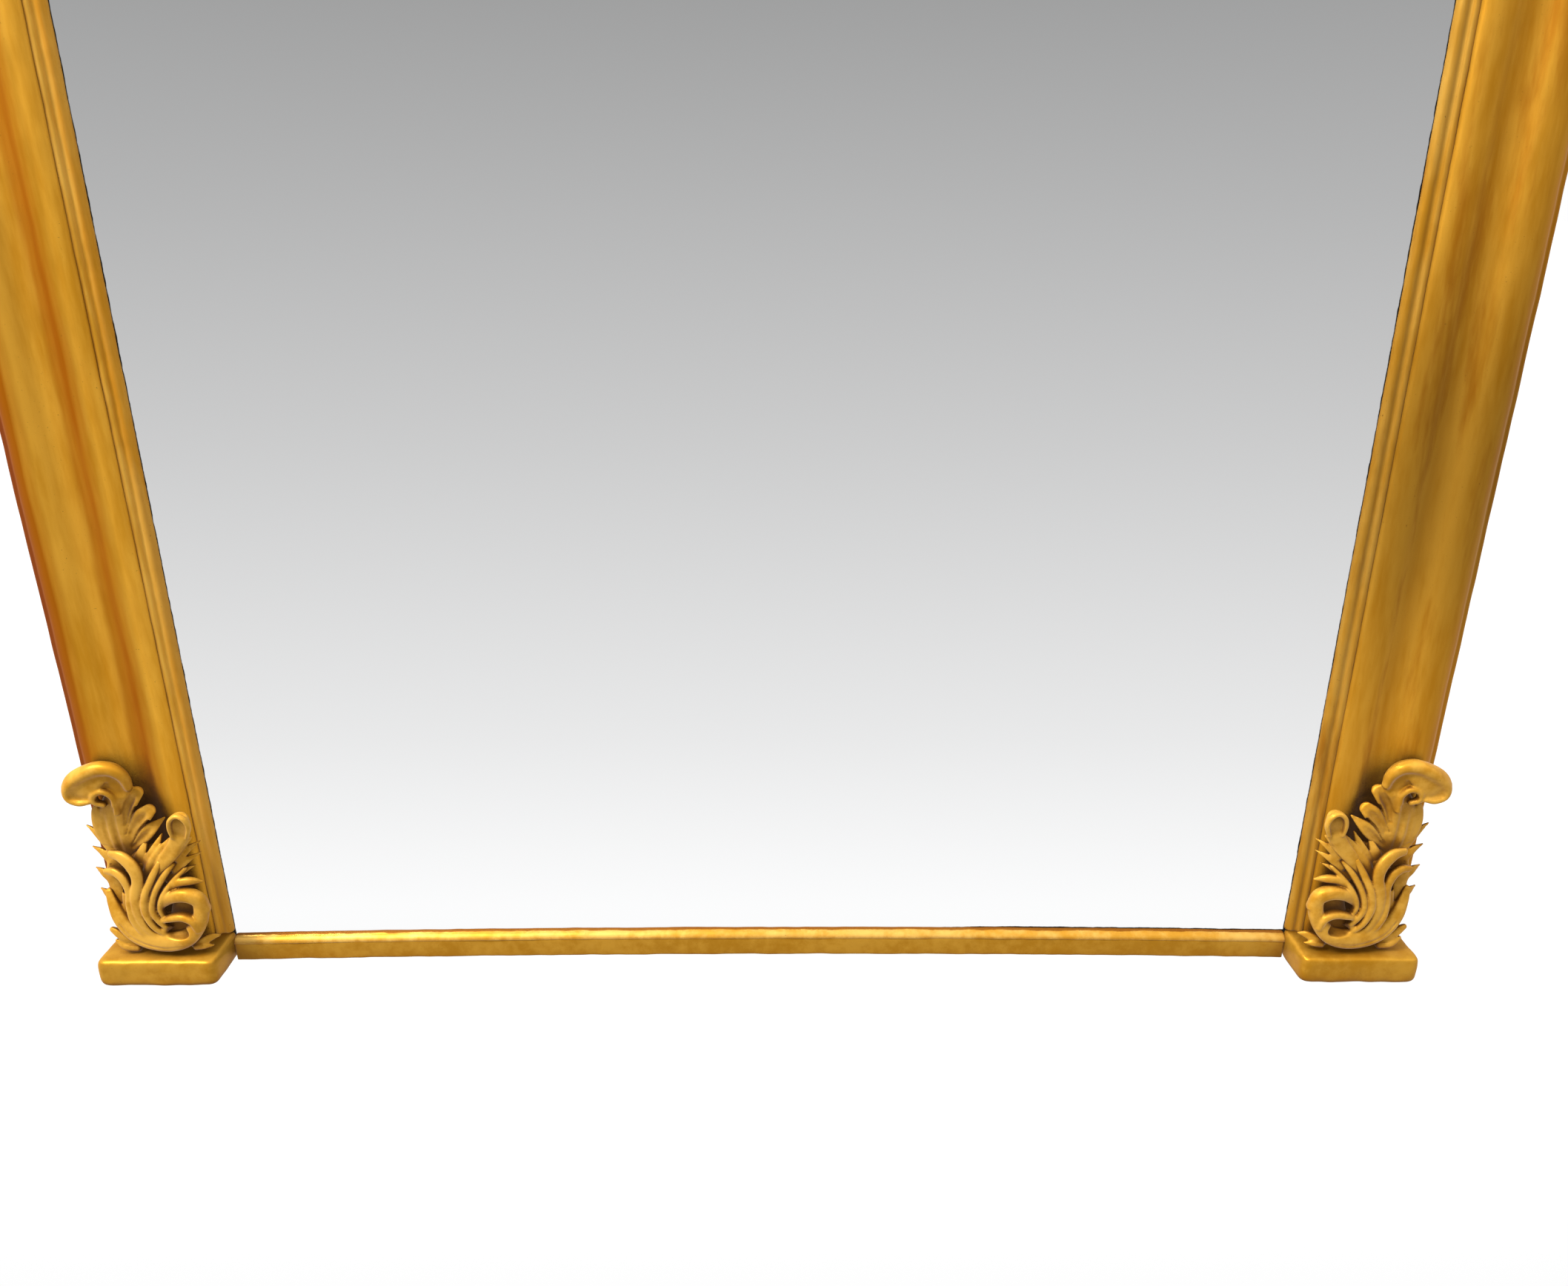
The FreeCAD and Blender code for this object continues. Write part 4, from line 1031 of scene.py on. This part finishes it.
# Leaf beside the glass, with pointed lobes and a spoon at its top.
INNER_LEAF = [
    Blade([(58, 80, 36, 15, 11), (73, 104, 36, 22, 11), (88, 121, 37, 20, 11), (101, 136, 40, 13, 11)], 2.0),
    Blade([(95, 113, 38, 11, 9), (108, 124, 37, 7, 7), (118, 129, 31, 1, 3)], 1.6, 1.5),
    Blade([(90, 100, 38, 11, 9), (105, 111, 37, 7, 7), (116, 115, 31, 1, 3)], 1.6, 1.5),
    Blade([(82, 87, 38, 11, 9), (97, 97, 37, 7, 7), (108, 100, 31, 1, 3)], 1.6, 1.5),
    Blade([(65, 100, 37, 10, 9), (79, 120, 38, 9, 8), (90, 132, 34, 2, 4)], 1.6, 1.5),
    Blade([(58, 90, 38, 10, 9), (68, 112, 39, 12, 9), (76, 126, 38, 9, 8), (81, 138, 33, 2, 4)], 1.6, 1.5),
    Blade([(50, 92, 37, 9, 9), (55, 110, 38, 12, 9), (61, 122, 37, 9, 8), (65, 133, 32, 2, 4)], 1.6, 1.5),
    Blade([(46, 106, 29, 20, 9), (58, 112, 30, 20, 9), (72, 120, 30, 14, 8)]),
    Blade([
        (66, 90, 41, 9, 10), (82, 110, 42, 14, 11), (96, 127, 43, 15, 11), (105, 141, 44, 15, 11),
    ], 2.5, 3.0),
    Blade([(62, 86, 40, 8, 9), (80, 106, 42, 9, 10), (98, 122, 42, 8, 9), (112, 136, 38, 3, 5)], 1.5, 1.2),
    Blade([(56, 88, 40, 7, 9), (68, 108, 41, 8, 9), (80, 124, 40, 6, 8), (92, 136, 38, 3, 5)], 1.2, 1.2),
    Blade([
        (103, 134, 41, 12, 12), (107, 146, 43, 18, 12), (109, 156, 45, 21, 12), (110, 163, 46, 19, 11),
    ], 4.0),
    Blade([
        (100, 143, 46, 4, 6), (100, 154, 48, 5, 7), (103, 164, 50, 5, 7), (110, 169, 50, 5, 7),
        (117, 165, 50, 5, 7), (119, 155, 48, 5, 7), (114, 142, 46, 4, 6),
    ], 0.0, 2.0),
]
INNER_CUTS = [
    Blade([(72, 96, 47, 3, 5), (86, 112, 49, 3, 5), (97, 126, 50, 3, 5), (105, 138, 51, 2, 4)], blend=1.0),
]
INNER_ROOT = [
    Blade([(70, 84, 20, 20, 18), (86, 110, 20, 18, 18), (98, 134, 24, 12, 16)]),
]

# Front leaf: a broad C-scroll with a hollow volute, hooked ribs and folds over the roll.
SCROLL_LEAF = [
    Blade([(76, 30, 36, 36, 8), (90, 34, 36, 38, 8), (97, 54, 37, 36, 9), (97, 70, 38, 26, 9)]),
    Blade([
        (62, 20, 37, 30, 12), (48, 42, 37, 38, 13), (48, 66, 37, 38, 13), (52, 88, 37, 32, 12),
        (52, 106, 38, 22, 11),
    ], 1.0),
    Blade([
        (16, 72, 36, 8, 9), (20, 58, 39, 13, 12), (26, 43, 42, 18, 14), (37, 29, 44, 22, 15),
        (52, 20, 45, 24, 16), (73, 17, 46, 23, 18), (92, 22, 47, 20, 18), (105, 35, 46, 17, 18),
        (112, 50, 46, 15, 17), (113, 64, 46, 12, 16),
    ], 2.0, 2.0),
    Blade([
        (72, 20, 47, 6, 8), (57, 31, 48, 8, 10), (50, 50, 49, 10, 11), (51, 73, 50, 11, 12),
        (57, 94, 50, 12, 12), (55, 109, 50, 13, 12), (45, 120, 48, 12, 11), (32, 122, 44, 8, 9),
    ], 2.0, 1.0),
    Blade([
        (66, 16, 46, 5, 8), (52, 27, 47, 8, 10), (43, 44, 48, 8, 11), (42, 62, 48, 8, 11),
        (45, 80, 48, 9, 11), (42, 95, 48, 10, 11), (33, 102, 46, 9, 10), (22, 101, 43, 6, 8),
    ], 1.5, 1.0),
    Blade([
        (74, 25, 47, 5, 9), (63, 38, 49, 7, 11), (58, 58, 50, 8, 12), (62, 78, 50, 8, 12),
        (70, 95, 47, 8, 10), (79, 111, 43, 6, 9),
    ], 1.5, 0.8),
    Blade([
        (77, 32, 46, 5, 9), (69, 44, 48, 7, 10), (65, 59, 49, 7, 11), (70, 77, 48, 7, 11),
        (80, 94, 45, 7, 9), (91, 108, 41, 5, 8),
    ], 1.2, 0.8),
    Blade([
        (74, 47, 46, 5, 9), (72, 59, 47, 6, 10), (78, 74, 47, 7, 10), (89, 89, 43, 6, 9),
        (101, 101, 39, 4, 7),
    ], 1.2, 0.8),
    Blade([(79, 78, 42, 7, 10), (94, 87, 43, 9, 11), (106, 88, 42, 8, 9), (115, 84, 37, 2, 4)], 1.5, 1.2),
    Blade([
        (73, 62, 44, 9, 11), (86, 72, 47, 13, 15), (101, 75, 48, 15, 17), (112, 69, 47, 15, 16),
        (116, 56, 45, 12, 15),
    ], 2.0, 1.2),
    Blade([
        (70, 43, 46, 5, 9), (82, 48, 49, 8, 12), (95, 50, 50, 9, 13), (105, 45, 50, 9, 14),
        (108, 34, 48, 8, 14),
    ], 1.0, 1.2),
    Blade([(59, 25, 42, 9, 9), (69, 32, 45, 8, 8), (77, 33, 46, 5, 6)], 0.0, 1.5),
]
SCROLL_CUTS = [
    Blade([(80, 31, 54, 13, 24), (87, 31, 54, 15, 24), (93, 30, 54, 11, 24)], blend=2.0),
    Blade([(33, 73, 46, 4, 34), (35, 83, 46, 5, 34)], blend=1.0),
    Blade([
        (21, 62, 47, 2, 5), (27, 46, 50, 3, 6), (37, 32, 53, 3, 7), (51, 22, 54, 3, 6), (66, 18, 55, 2, 4),
    ], blend=1.2),
    Blade([
        (26, 38, 49, 2, 5), (35, 25, 52, 3, 7), (50, 16, 53, 3, 7), (70, 12, 55, 3, 7), (88, 15, 56, 2, 5),
    ], blend=1.2),
    Blade([(51, 62, 56, 2, 4), (54, 84, 57, 3, 5), (54, 102, 57, 3, 5), (46, 114, 55, 2, 4)], blend=1.0),
    Blade([(84, 74, 55, 2, 4), (98, 77, 57, 3, 5), (110, 70, 56, 3, 5), (114, 58, 54, 2, 4)], blend=1.0),
]
SCROLL_ROOT = [
    Blade([(60, 20, 22, 30, 24), (46, 50, 20, 34, 26), (46, 84, 20, 30, 24)]),
]

# Small leaf on the block beside the outer edge.
OUTER_SPRIG = [
    Blade([(36, 9, 39, 10, 9), (26, 18, 42, 11, 9), (18, 25, 42, 9, 8), (11, 28, 40, 5, 6)], 1.8, 1.5),
    Blade([(36, 6, 42, 8, 8), (25, 9, 44, 8, 7), (16, 16, 43, 4, 4)], 1.0, 1.5),
]

# Small leaf on the block beside the glass.
INNER_SPRIG = [
    Blade([(94, 10, 40, 9, 9), (104, 14, 42, 10, 9), (113, 17, 39, 8, 7), (120, 16, 35, 2, 4)], 1.8, 1.5),
    Blade([(98, 8, 43, 7, 8), (107, 10, 44, 7, 7), (115, 9, 42, 2, 4)], 1.0, 1.5),
]


@dataclass(frozen=True)
class Leaf:
    """Blades of one leaf, the cuts made in it, and the root that it has on the crest."""

    name: str
    blades: list[Blade]
    cuts: list[Blade] = field(default_factory=list)
    root: list[Blade] = field(default_factory=list)


@dataclass
class AcanthusSpray:
    """Spray of acanthus leaves: the one on the left foot block sets the shape of all four.

    Across runs inwards from the frame's outer edge, up from the block and ahead from the glass.
    The sprigs stand on the foot blocks only.
    """

    cell: float = 0.9
    smoothing: int = 2
    leaves: tuple[Leaf, ...] = (
        Leaf("crook_leaf", CROOK_LEAF, CROOK_CUTS, CROOK_ROOT),
        Leaf("outer_leaf", OUTER_LEAF, OUTER_CUTS, OUTER_ROOT),
        Leaf("inner_leaf", INNER_LEAF, INNER_CUTS, INNER_ROOT),
        Leaf("scroll_leaf", SCROLL_LEAF, SCROLL_CUTS, SCROLL_ROOT),
        Leaf("outer_sprig", OUTER_SPRIG),
        Leaf("inner_sprig", INNER_SPRIG),
    )

    def build(self, carver: Carver) -> None:
        """Carve the leaves once and set them on both feet and both sides of the crest.

        Args:
            carver: Places and dresses the pieces.
        """
        for leaf in self.leaves:
            carved = carve(leaf.name, leaf.blades, leaf.cuts, self.cell, self.smoothing)
            for side in Side:
                hand = side.name.lower()
                node = f"{hand}_foot_{leaf.name}" if leaf.root else f"{hand}_{leaf.name}"
                carver.place(f"{node}_carved", carved, self._foot_setting(side), [node])
        for leaf in self.leaves:
            if not leaf.root:
                continue
            blades = leaf.root + leaf.blades
            carved = carve(f"crest_{leaf.name}", blades, leaf.cuts, self.cell, self.smoothing)
            for side in Side:
                node = f"{side.name.lower()}_crest_{leaf.name}"
                carver.place(f"{node}_carved", carved, self._crest_setting(side), [node])

    @staticmethod
    def _foot_setting(side: Side) -> Matrix:
        """Standing on a foot block."""
        origin = Vector((side.value * SIZES.outer_half, SIZES.glass_front, SIZES.block_top))
        return setting_from_axes(Vector((-side.value, 0, 0)), Vector((0, 0, 1)), Vector((0, -1, 0)), origin)

    @staticmethod
    def _crest_setting(side: Side) -> Matrix:
        """Lying on the top rail, with its foot towards the shell.

        Args:
            side: Side of the shell.

        Returns:
            The matrix from carved millimetres to the frame.
        """
        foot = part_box(f"{side.name.lower()}_crest_scroll_leaf")
        start = foot[1].x if side is Side.LEFT else foot[0].x
        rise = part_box("left_crest_outer_leaf")[1].z
        origin = Vector((start, SIZES.glass_front, rise))
        return setting_from_axes(Vector((0, 0, -1)), Vector((side.value, 0, 0)), Vector((0, -1, 0)), origin)


@dataclass
class CrestShell:
    """Palmette shell in the middle of the crest, over a hanging husk.

    Across runs from the middle, up from the shell's lowest point and ahead from the glass. A lobe
    section is a share of the lobe's reach, how far ahead it lies, its width and its depth.
    """

    lobe_angles: tuple[float, ...] = (-68.0, -45.0, -22.0, 0.0, 22.0, 45.0, 68.0)
    lobe_reach: tuple[float, ...] = (66.0, 84.0, 98.0, 108.0, 98.0, 84.0, 66.0)
    lobe_sections: tuple[tuple[float, ...], ...] = (
        (0.1, 32, 9, 18), (0.45, 33, 17, 18), (0.75, 31, 23, 16), (0.93, 34, 20, 12),
    )
    heart: tuple[float, float] = (0.0, 76.0)
    cell: float = 1.0
    smoothing: int = 2

    def _blades(self) -> list[Blade]:
        """Lobes, heart, side scrolls and husk.

        Returns:
            The blades in the order that they are laid.
        """
        blades = []
        across, up = self.heart
        for angle, reach in zip(self.lobe_angles, self.lobe_reach):
            way = (math.sin(math.radians(angle)), math.cos(math.radians(angle)))
            stations = []
            for share, *section in self.lobe_sections:
                stations.append((across + way[0] * reach * share, up + way[1] * reach * share, *section))
            blades.append(Blade(stations, 3.0, 1.5))
        blades.append(Blade([
            (0, 58, 42, 20, 16), (0, 72, 46, 34, 22), (0, 88, 44, 26, 18), (0, 96, 42, 12, 12),
        ]))
        blades.append(Blade([(0, 100, 14, 60, 22), (0, 60, 16, 52, 26), (0, 30, 24, 24, 20)]))
        for hand in (-1, 1):
            blades.append(Blade([
                (hand * 4, 20, 34, 8, 12), (hand * 20, 34, 38, 10, 14), (hand * 36, 46, 40, 11, 15),
                (hand * 50, 58, 40, 11, 15), (hand * 53, 71, 41, 10, 14), (hand * 44, 78, 42, 9, 13),
                (hand * 37, 71, 43, 8, 12), (hand * 42, 65, 43, 6, 10),
            ]))
            blades.append(Blade([
                (hand * 3, 56, 40, 8, 12), (hand * 12, 36, 40, 10, 12), (hand * 10, 18, 38, 8, 9),
                (hand * 14, 8, 34, 3, 4),
            ], 1.5, 1.5))
        blades.append(Blade([
            (0, 58, 40, 10, 12), (0, 34, 42, 14, 13), (0, 14, 38, 9, 9), (0, 2, 32, 3, 4),
        ], 1.5, 1.5))
        return blades

    def build(self, carver: Carver) -> None:
        """Carve the shell and set it on the top rail.

        Args:
            carver: Places and dresses the piece.
        """
        carved = carve("crest_shell", self._blades(), [], self.cell, self.smoothing)
        origin = Vector((0, SIZES.glass_front, SIZES.shell_base))
        setting = setting_from_axes(Vector((1, 0, 0)), Vector((0, 0, 1)), Vector((0, -1, 0)), origin)
        carver.place("crest_shell_carved", carved, setting, ["crest_shell"])


@dataclass(frozen=True)
class Softening:
    """How far the thick ground under the gold has rounded a kind of piece, in metres.

    The words end the names of the pieces. The cell is the size of the mesh, the rounds are those of
    its smoothing, and the bow is how far the middle of the piece has warped upwards.
    """

    words: tuple[str, ...]
    gold: str
    cell: float
    rounds: int
    lump_size: float
    lump_height: float
    swell: float = 0.0
    bow: float = 0.0


@dataclass
class GessoedPieces:
    """Foot blocks, mouldings, slips and fascia, softened by their thick ground and by handling."""

    kinds: tuple[Softening, ...] = (
        Softening(("left_foot_block", "right_foot_block"), "gilt_block", 0.0022, 40, 0.035, 0.0011),
        Softening(("moulding",), "gilt_rail", 0.0020, 4, 0.060, 0.0005, GROUND_SWELL),
        Softening(
            ("side_slip", "shoulder_slip", "top_slip"), "gilt_slip", 0.0012, 4, 0.030, 0.0004, GROUND_SWELL,
        ),
        Softening(("bottom_slip",), "gilt_bead", 0.0010, 4, 0.030, 0.0004, GROUND_SWELL, RAIL_BOW),
        Softening(("fascia",), "gilt_block", 0.0014, 8, 0.040, 0.0006, bow=RAIL_BOW),
    )
    smoothing: float = 0.5
    small_lumps: float = 0.5
    small_lump_scale: float = 2.7

    def build(self) -> None:
        """Make the pieces from the plain ones and set them in their place."""
        for kind in self.kinds:
            for node in list(frame["nodes"]):
                if node.endswith(kind.words):
                    self._place(node, kind)

    def _place(self, node: str, kind: Softening) -> None:
        """Set one softened piece in the place of its plain one.

        Args:
            node: Name of the plain piece.
            kind: How far it is softened.
        """
        piece = bpy.data.objects.new(f"{node}_gilt", self._softened(node, kind))
        bpy.context.scene.collection.objects.link(piece)
        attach(piece, "frame")
        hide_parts(node)
        LOG.info("%s: %d faces", piece.name, len(piece.data.polygons))

    def _softened(self, node: str, kind: Softening) -> bpy.types.Mesh:
        """Round a piece's edges and let its faces wander a little.

        Args:
            node: Name of the plain piece.
            kind: How far it is softened.

        Returns:
            The softened mesh.
        """
        holder = bpy.data.objects.new("rough", frame["nodes"][node].data.copy())
        bpy.context.scene.collection.objects.link(holder)
        fuse = holder.modifiers.new("fuse", "REMESH")
        fuse.mode = "VOXEL"
        fuse.voxel_size = kind.cell
        soften = holder.modifiers.new("soften", "SMOOTH")
        soften.factor = self.smoothing
        soften.iterations = kind.rounds
        mesh = bpy.data.meshes.new_from_object(holder.evaluated_get(bpy.context.evaluated_depsgraph_get()))
        mesh.name = f"{node}_gilt"
        bpy.data.objects.remove(holder)
        places = np.empty((len(mesh.vertices), 3), np.float32)
        mesh.vertices.foreach_get("co", places.ravel())
        outward = np.empty_like(places)
        mesh.vertex_normals.foreach_get("vector", outward.ravel())
        lumps = [
            noise.noise(place) + self.small_lumps * noise.noise(place * self.small_lump_scale)
            for place in map(Vector, (places / kind.lump_size).tolist())
        ]
        low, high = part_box(node)
        moved = places + outward * (np.array(lumps, np.float32) * kind.lump_height + kind.swell)[:, None]
        held = np.clip(moved, np.array(low) - kind.swell, np.array(high) + kind.swell)
        held[:, 2] += kind.bow * np.clip(1.0 - (places[:, 0] / SIZES.half_sight) ** 2, 0.0, 1.0)
        mesh.vertices.foreach_set("co", held.astype(np.float32).ravel())
        mesh.update()
        mesh.polygons.foreach_set("use_smooth", [True] * len(mesh.polygons))
        mesh.materials.clear()
        mesh.materials.append(bpy.data.materials[kind.gold])
        return mesh


@dataclass
class FrameFinishes:
    """Finishes of all nodes, and the golds of the softened and carved pieces."""

    groups: EffectGroups
    board_count: int = 5
    board_early: Colour = (0.33, 0.195, 0.092)
    board_late: Colour = (0.18, 0.088, 0.036)
    darkest_board: float = 0.78
    board_range: float = 0.16
    grain_step: float = 3.7

    def _board(self, row: int) -> bpy.types.Material:
        """Pine of one backboard, a little lighter or darker than the next.

        Args:
            row: Number of the board, from 1.

        Returns:
            The board's material.
        """
        tone = self.darkest_board + self.board_range * (row * 3 % self.board_count) / (self.board_count - 1)
        early = tuple(part * tone for part in self.board_early)
        late = tuple(part * tone for part in self.board_late)
        shift = self.grain_step * row
        return OldPine(f"pine_board_{row}", Grain.LEVEL, early, late, shift=shift).make(self.groups)

    def dress(self) -> bpy.types.Material:
        """Give every node its material.

        Returns:
            The gold of the carved leaves.
        """
        # Painted shade in the rail's hollow and on its outer flank, and painted highlights on its crowns.
        rail_bands = (
            (0.0, 0.15), (0.14, 0.05), (0.22, 0.0), (0.26, 0.12), (0.31, 0.55), (0.37, 0.95),
            (0.44, 0.75), (0.51, 0.18), (0.60, 0.04), (0.68, 0.08), (0.75, 0.5), (0.83, 1.3), (1.0, 1.3),
        )
        crowns = (
            (0.08, 0.4), (0.15, 1.0), (0.21, 0.9), (0.27, 0.0),
            (0.46, 0.0), (0.55, 0.9), (0.64, 0.7), (0.73, 0.0),
        )
        slip_bands = ((0.0, 0.3), (0.03, 0.45), (0.06, 0.3), (0.085, 0.0), (0.2, 0.0))
        # Rail gold with painted shade over the right rail and a darker patch on it.
        moulding = Gilding(
            "gilt_rail", recess=0.1, deep=1.7, specular=0.12, bands=rail_bands, crowns=crowns,
            dull=0.04, dark_patch=0.32,
        ).make(self.groups)
        # Lighter copy of the gold for the slips, painted light against the shade in their grooves, with
        # painted shade over the right rail.
        slip = Gilding(
            "gilt_slip", leaf=(0.66, 0.300, 0.020), rubbed=(0.80, 0.445, 0.075), recess=0.3, specks=1.0,
            deep=0.2, metallic=0.3, bump=0.15, bands=slip_bands, dull=0.32, dark_patch=0.12,
        ).make(self.groups)
        bead = Gilding(
            "gilt_bead", leaf=(0.50, 0.235, 0.022), rubbed=(0.62, 0.360, 0.080), patina=(0.200, 0.060, 0.003),
            recess=0.3, specks=1.0, deep=0.2, metallic=0.3, bump=0.15, dark_back=0.95,
        ).make(self.groups)
        # Darker copy of the gold for the blocks and fascia: painted shade against the floor's light on their
        # fronts.
        plain = Gilding(
            "gilt_block", leaf=(0.38, 0.168, 0.009), rubbed=(0.49, 0.245, 0.025), recess=0.35, specks=0.9,
            deep=0.5, metallic=0.4, bump=0.25,
        ).make(self.groups)
        # Dark patina and high recess and deep-gap shares paint shade into the leaves' folds and the gaps
        # behind them.
        carved = Gilding(
            "gilt_leaves", leaf=(0.50, 0.222, 0.014), rubbed=(0.69, 0.360, 0.050),
            patina=(0.155, 0.048, 0.003), recess=0.95, edge=0.0, specks=0.5, deep=0.7, metallic=0.2, bump=0.2,
        ).make(self.groups)
        upright = OldPine("pine_upright", Grain.UPRIGHT).make(self.groups)
        level = OldPine("pine_level", Grain.LEVEL).make(self.groups)
        boards = {f"backboard_{row}": self._board(row) for row in range(1, self.board_count + 1)}
        glass = SilveredGlass("silvered_glass").make(self.groups)
        brass = OldMetal("old_brass", (0.50, 0.33, 0.11), (0.20, 0.12, 0.04)).make()
        iron = OldMetal("dark_iron", (0.20, 0.18, 0.16), (0.07, 0.05, 0.04), 0.5).make()
        rules = (
            (("moulding",), moulding), (("bottom_slip",), bead), (("slip",), slip),
            (("foot_block_", "brads", "screws"), iron),
            (("foot_block", "fascia"), plain), (("mirror_plate",), glass),
            (("hanger_strap", "hanger_ring"), brass), (("stile", "shoulder_board"), upright),
            (("rail", "backing", "dowels", "glazing"), level), (("leaf", "sprig", "shell", "pins"), carved),
        )
        for name, node in frame["nodes"].items():
            finish = boards.get(name)
            if finish is None:
                finish = next(material for words, material in rules if any(word in name for word in words))
            node.data.materials.clear()
            node.data.materials.append(finish)
            LOG.info("%s: %s", name, finish.name)
        return carved


@dataclass
class Stage:
    """Pale glowing floor, soft light and the camera at the photograph's viewpoint.

    Lengths are in metres and angles in degrees. The floor and the world are white behind the frame.
    """

    image_width: int = 2116
    focal_pixels: float = 1560.0
    sensor_width: float = 36.0
    near_clip: float = 0.01
    camera_from_glass: tuple[float, float, float] = (0.0191, -1.0703, 0.753)
    pitch: float = 21.12
    yaw: float = -0.32
    roll: float = 0.06
    floor_half: float = 40.0
    floor_bounce: float = 0.4
    world_held_back: float = 0.4
    floor_drop: float = 0.0005
    fade_angle: float = 36.0
    wall_blend: float = 0.12
    wall_floor: Colour = (1.12, 1.12, 1.12)

    def build(self) -> None:
        """Set up camera, world, floor and lights."""
        self._camera()
        self._world()
        self._floor()
        self._lights()
        bpy.context.scene.view_settings.view_transform = "Standard"

    def _camera(self) -> None:
        """Camera fitted to the sight edges and foot blocks in the photograph."""
        data = bpy.data.cameras.new("camera")
        data.sensor_fit = "HORIZONTAL"
        data.sensor_width = self.sensor_width
        data.lens = self.sensor_width * self.focal_pixels / self.image_width
        data.clip_start = self.near_clip
        camera = bpy.data.objects.new("camera", data)
        across, ahead, above = self.camera_from_glass
        camera.location = (across, SIZES.glass_front + ahead, SIZES.sight_base + above)
        level = Matrix.Rotation(math.radians(90.0 - self.pitch), 4, "X")
        aside = Matrix.Rotation(math.radians(self.yaw), 4, "Z")
        camera.rotation_euler = (aside @ level @ Matrix.Rotation(math.radians(self.roll), 4, "Z")).to_euler()
        bpy.context.scene.collection.objects.link(camera)
        bpy.context.scene.camera = camera

    def _world(self) -> None:
        """Soft surrounding light: white behind, grey at eye level in front and bright overhead."""
        world = bpy.data.worlds.new("studio")
        tree = empty_tree(world)
        split = tree.add("ShaderNodeSeparateXYZ", {0: tree.add("ShaderNodeTexCoord").outputs["Generated"]})
        height = tree.plus(tree.times(split.outputs[2], 0.5), 0.5)
        shades = ((0.0, 1.0), (0.25, 1.0), (0.5, 0.530), (0.57, 0.409), (0.64, 0.50), (0.80, 1.5), (1.0, 2.2))
        behind = tree.smooth(split.outputs[1], -self.wall_blend, 0.0)
        colour = tree.mix(behind, tree.ramp(height, shades), (1.0, 1.0, 1.0))
        path = tree.add("ShaderNodeLightPath")
        held_back = tree.times(path.outputs["Is Diffuse Ray"], self.world_held_back)
        strength = tree.minus(1.0, held_back)
        light = tree.add("ShaderNodeBackground", {"Color": colour, "Strength": strength})
        tree.add("ShaderNodeOutputWorld", {"Surface": light.outputs[0]})
        bpy.context.scene.world = world

    def _floor(self) -> None:
        """Pale glowing floor, painted brightest near the frame and falling off to grey in front, as the glass
        shows it; its glow also lights the frame.
        """
        mesh = bpy.data.meshes.new("floor")
        half = self.floor_half
        corners = [(-half, -half, 0), (half, -half, 0), (half, half, 0), (-half, half, 0)]
        mesh.from_pydata(corners, [], [(0, 1, 2, 3)])
        floor = bpy.data.objects.new("floor", mesh)
        floor.location.z = -self.floor_drop
        bpy.context.scene.collection.objects.link(floor)
        material = bpy.data.materials.new("pale_floor")
        tree = empty_tree(material)
        depth = tree.coordinates()[1]
        reach = tree.minus(-self.camera_from_glass[1], depth)
        camera_height = SIZES.sight_base + self.camera_from_glass[2]
        slope = tree.math("ARCTANGENT", tree.over(camera_height, reach))
        fall = tree.over(slope, math.radians(self.fade_angle))
        # Painted light: the floor glows brightest near the frame and fades to grey further in front.
        shades = ((0.0, 0.530), (0.316, 0.702), (0.517, 0.823), (0.721, 0.948), (0.88, 1.08), (1.0, 1.17))
        back = tree.smooth(depth, -self.wall_blend, 0.0)
        colour = tree.mix(back, tree.ramp(fall, shades), self.wall_floor)
        path = tree.add("ShaderNodeLightPath")
        seen = tree.most(path.outputs["Is Camera Ray"], path.outputs["Is Glossy Ray"])
        strength = tree.plus(self.floor_bounce, tree.times(seen, 1.0 - self.floor_bounce))
        glow = tree.add("ShaderNodeEmission", {"Color": colour, "Strength": strength})
        tree.add("ShaderNodeOutputMaterial", {"Surface": glow.outputs[0]})
        mesh.materials.append(material)

    def _lights(self) -> None:
        """Large soft lamp high on the left, and a weak one on the right."""
        for name, place, aim, size, power in (
            ("key", (-2.3, -1.4, 3.5), (0.0, 0.0, 0.5), 1.4, 275.0),
            ("fill", (3.4, -1.4, 2.2), (0.0, 0.0, 0.6), 1.4, 9.0),
        ):
            data = bpy.data.lights.new(name, "AREA")
            data.size = size
            data.energy = power
            lamp = bpy.data.objects.new(name, data)
            lamp.location = place
            lamp.rotation_euler = (Vector(aim) - Vector(place)).to_track_quat("-Z", "Y").to_euler()
            bpy.context.scene.collection.objects.link(lamp)


def clear_glass(names: tuple[str, ...]) -> None:
    """Keep the frame's own front out of sharp reflections, as the photograph's glass shows none of it.

    Args:
        names: Words in the names of the pieces that the glass leaves out.
    """
    for piece in bpy.data.objects:
        if piece.type == "MESH" and any(word in piece.name for word in names):
            piece.visible_glossy = False


def main() -> None:
    """Dress the frame, carve the ornament and set up the stage."""
    logging.basicConfig(level=logging.INFO, format="%(name)s %(message)s")
    groups = EffectGroups()
    gold = FrameFinishes(groups).dress()
    carver = Carver(gold)
    AcanthusSpray().build(carver)
    CrestShell().build(carver)
    GessoedPieces().build()
    clear_glass(("foot", "sprig", "slip", "moulding", "fascia"))
    Stage().build()


if __name__ == "__main__":
    main()
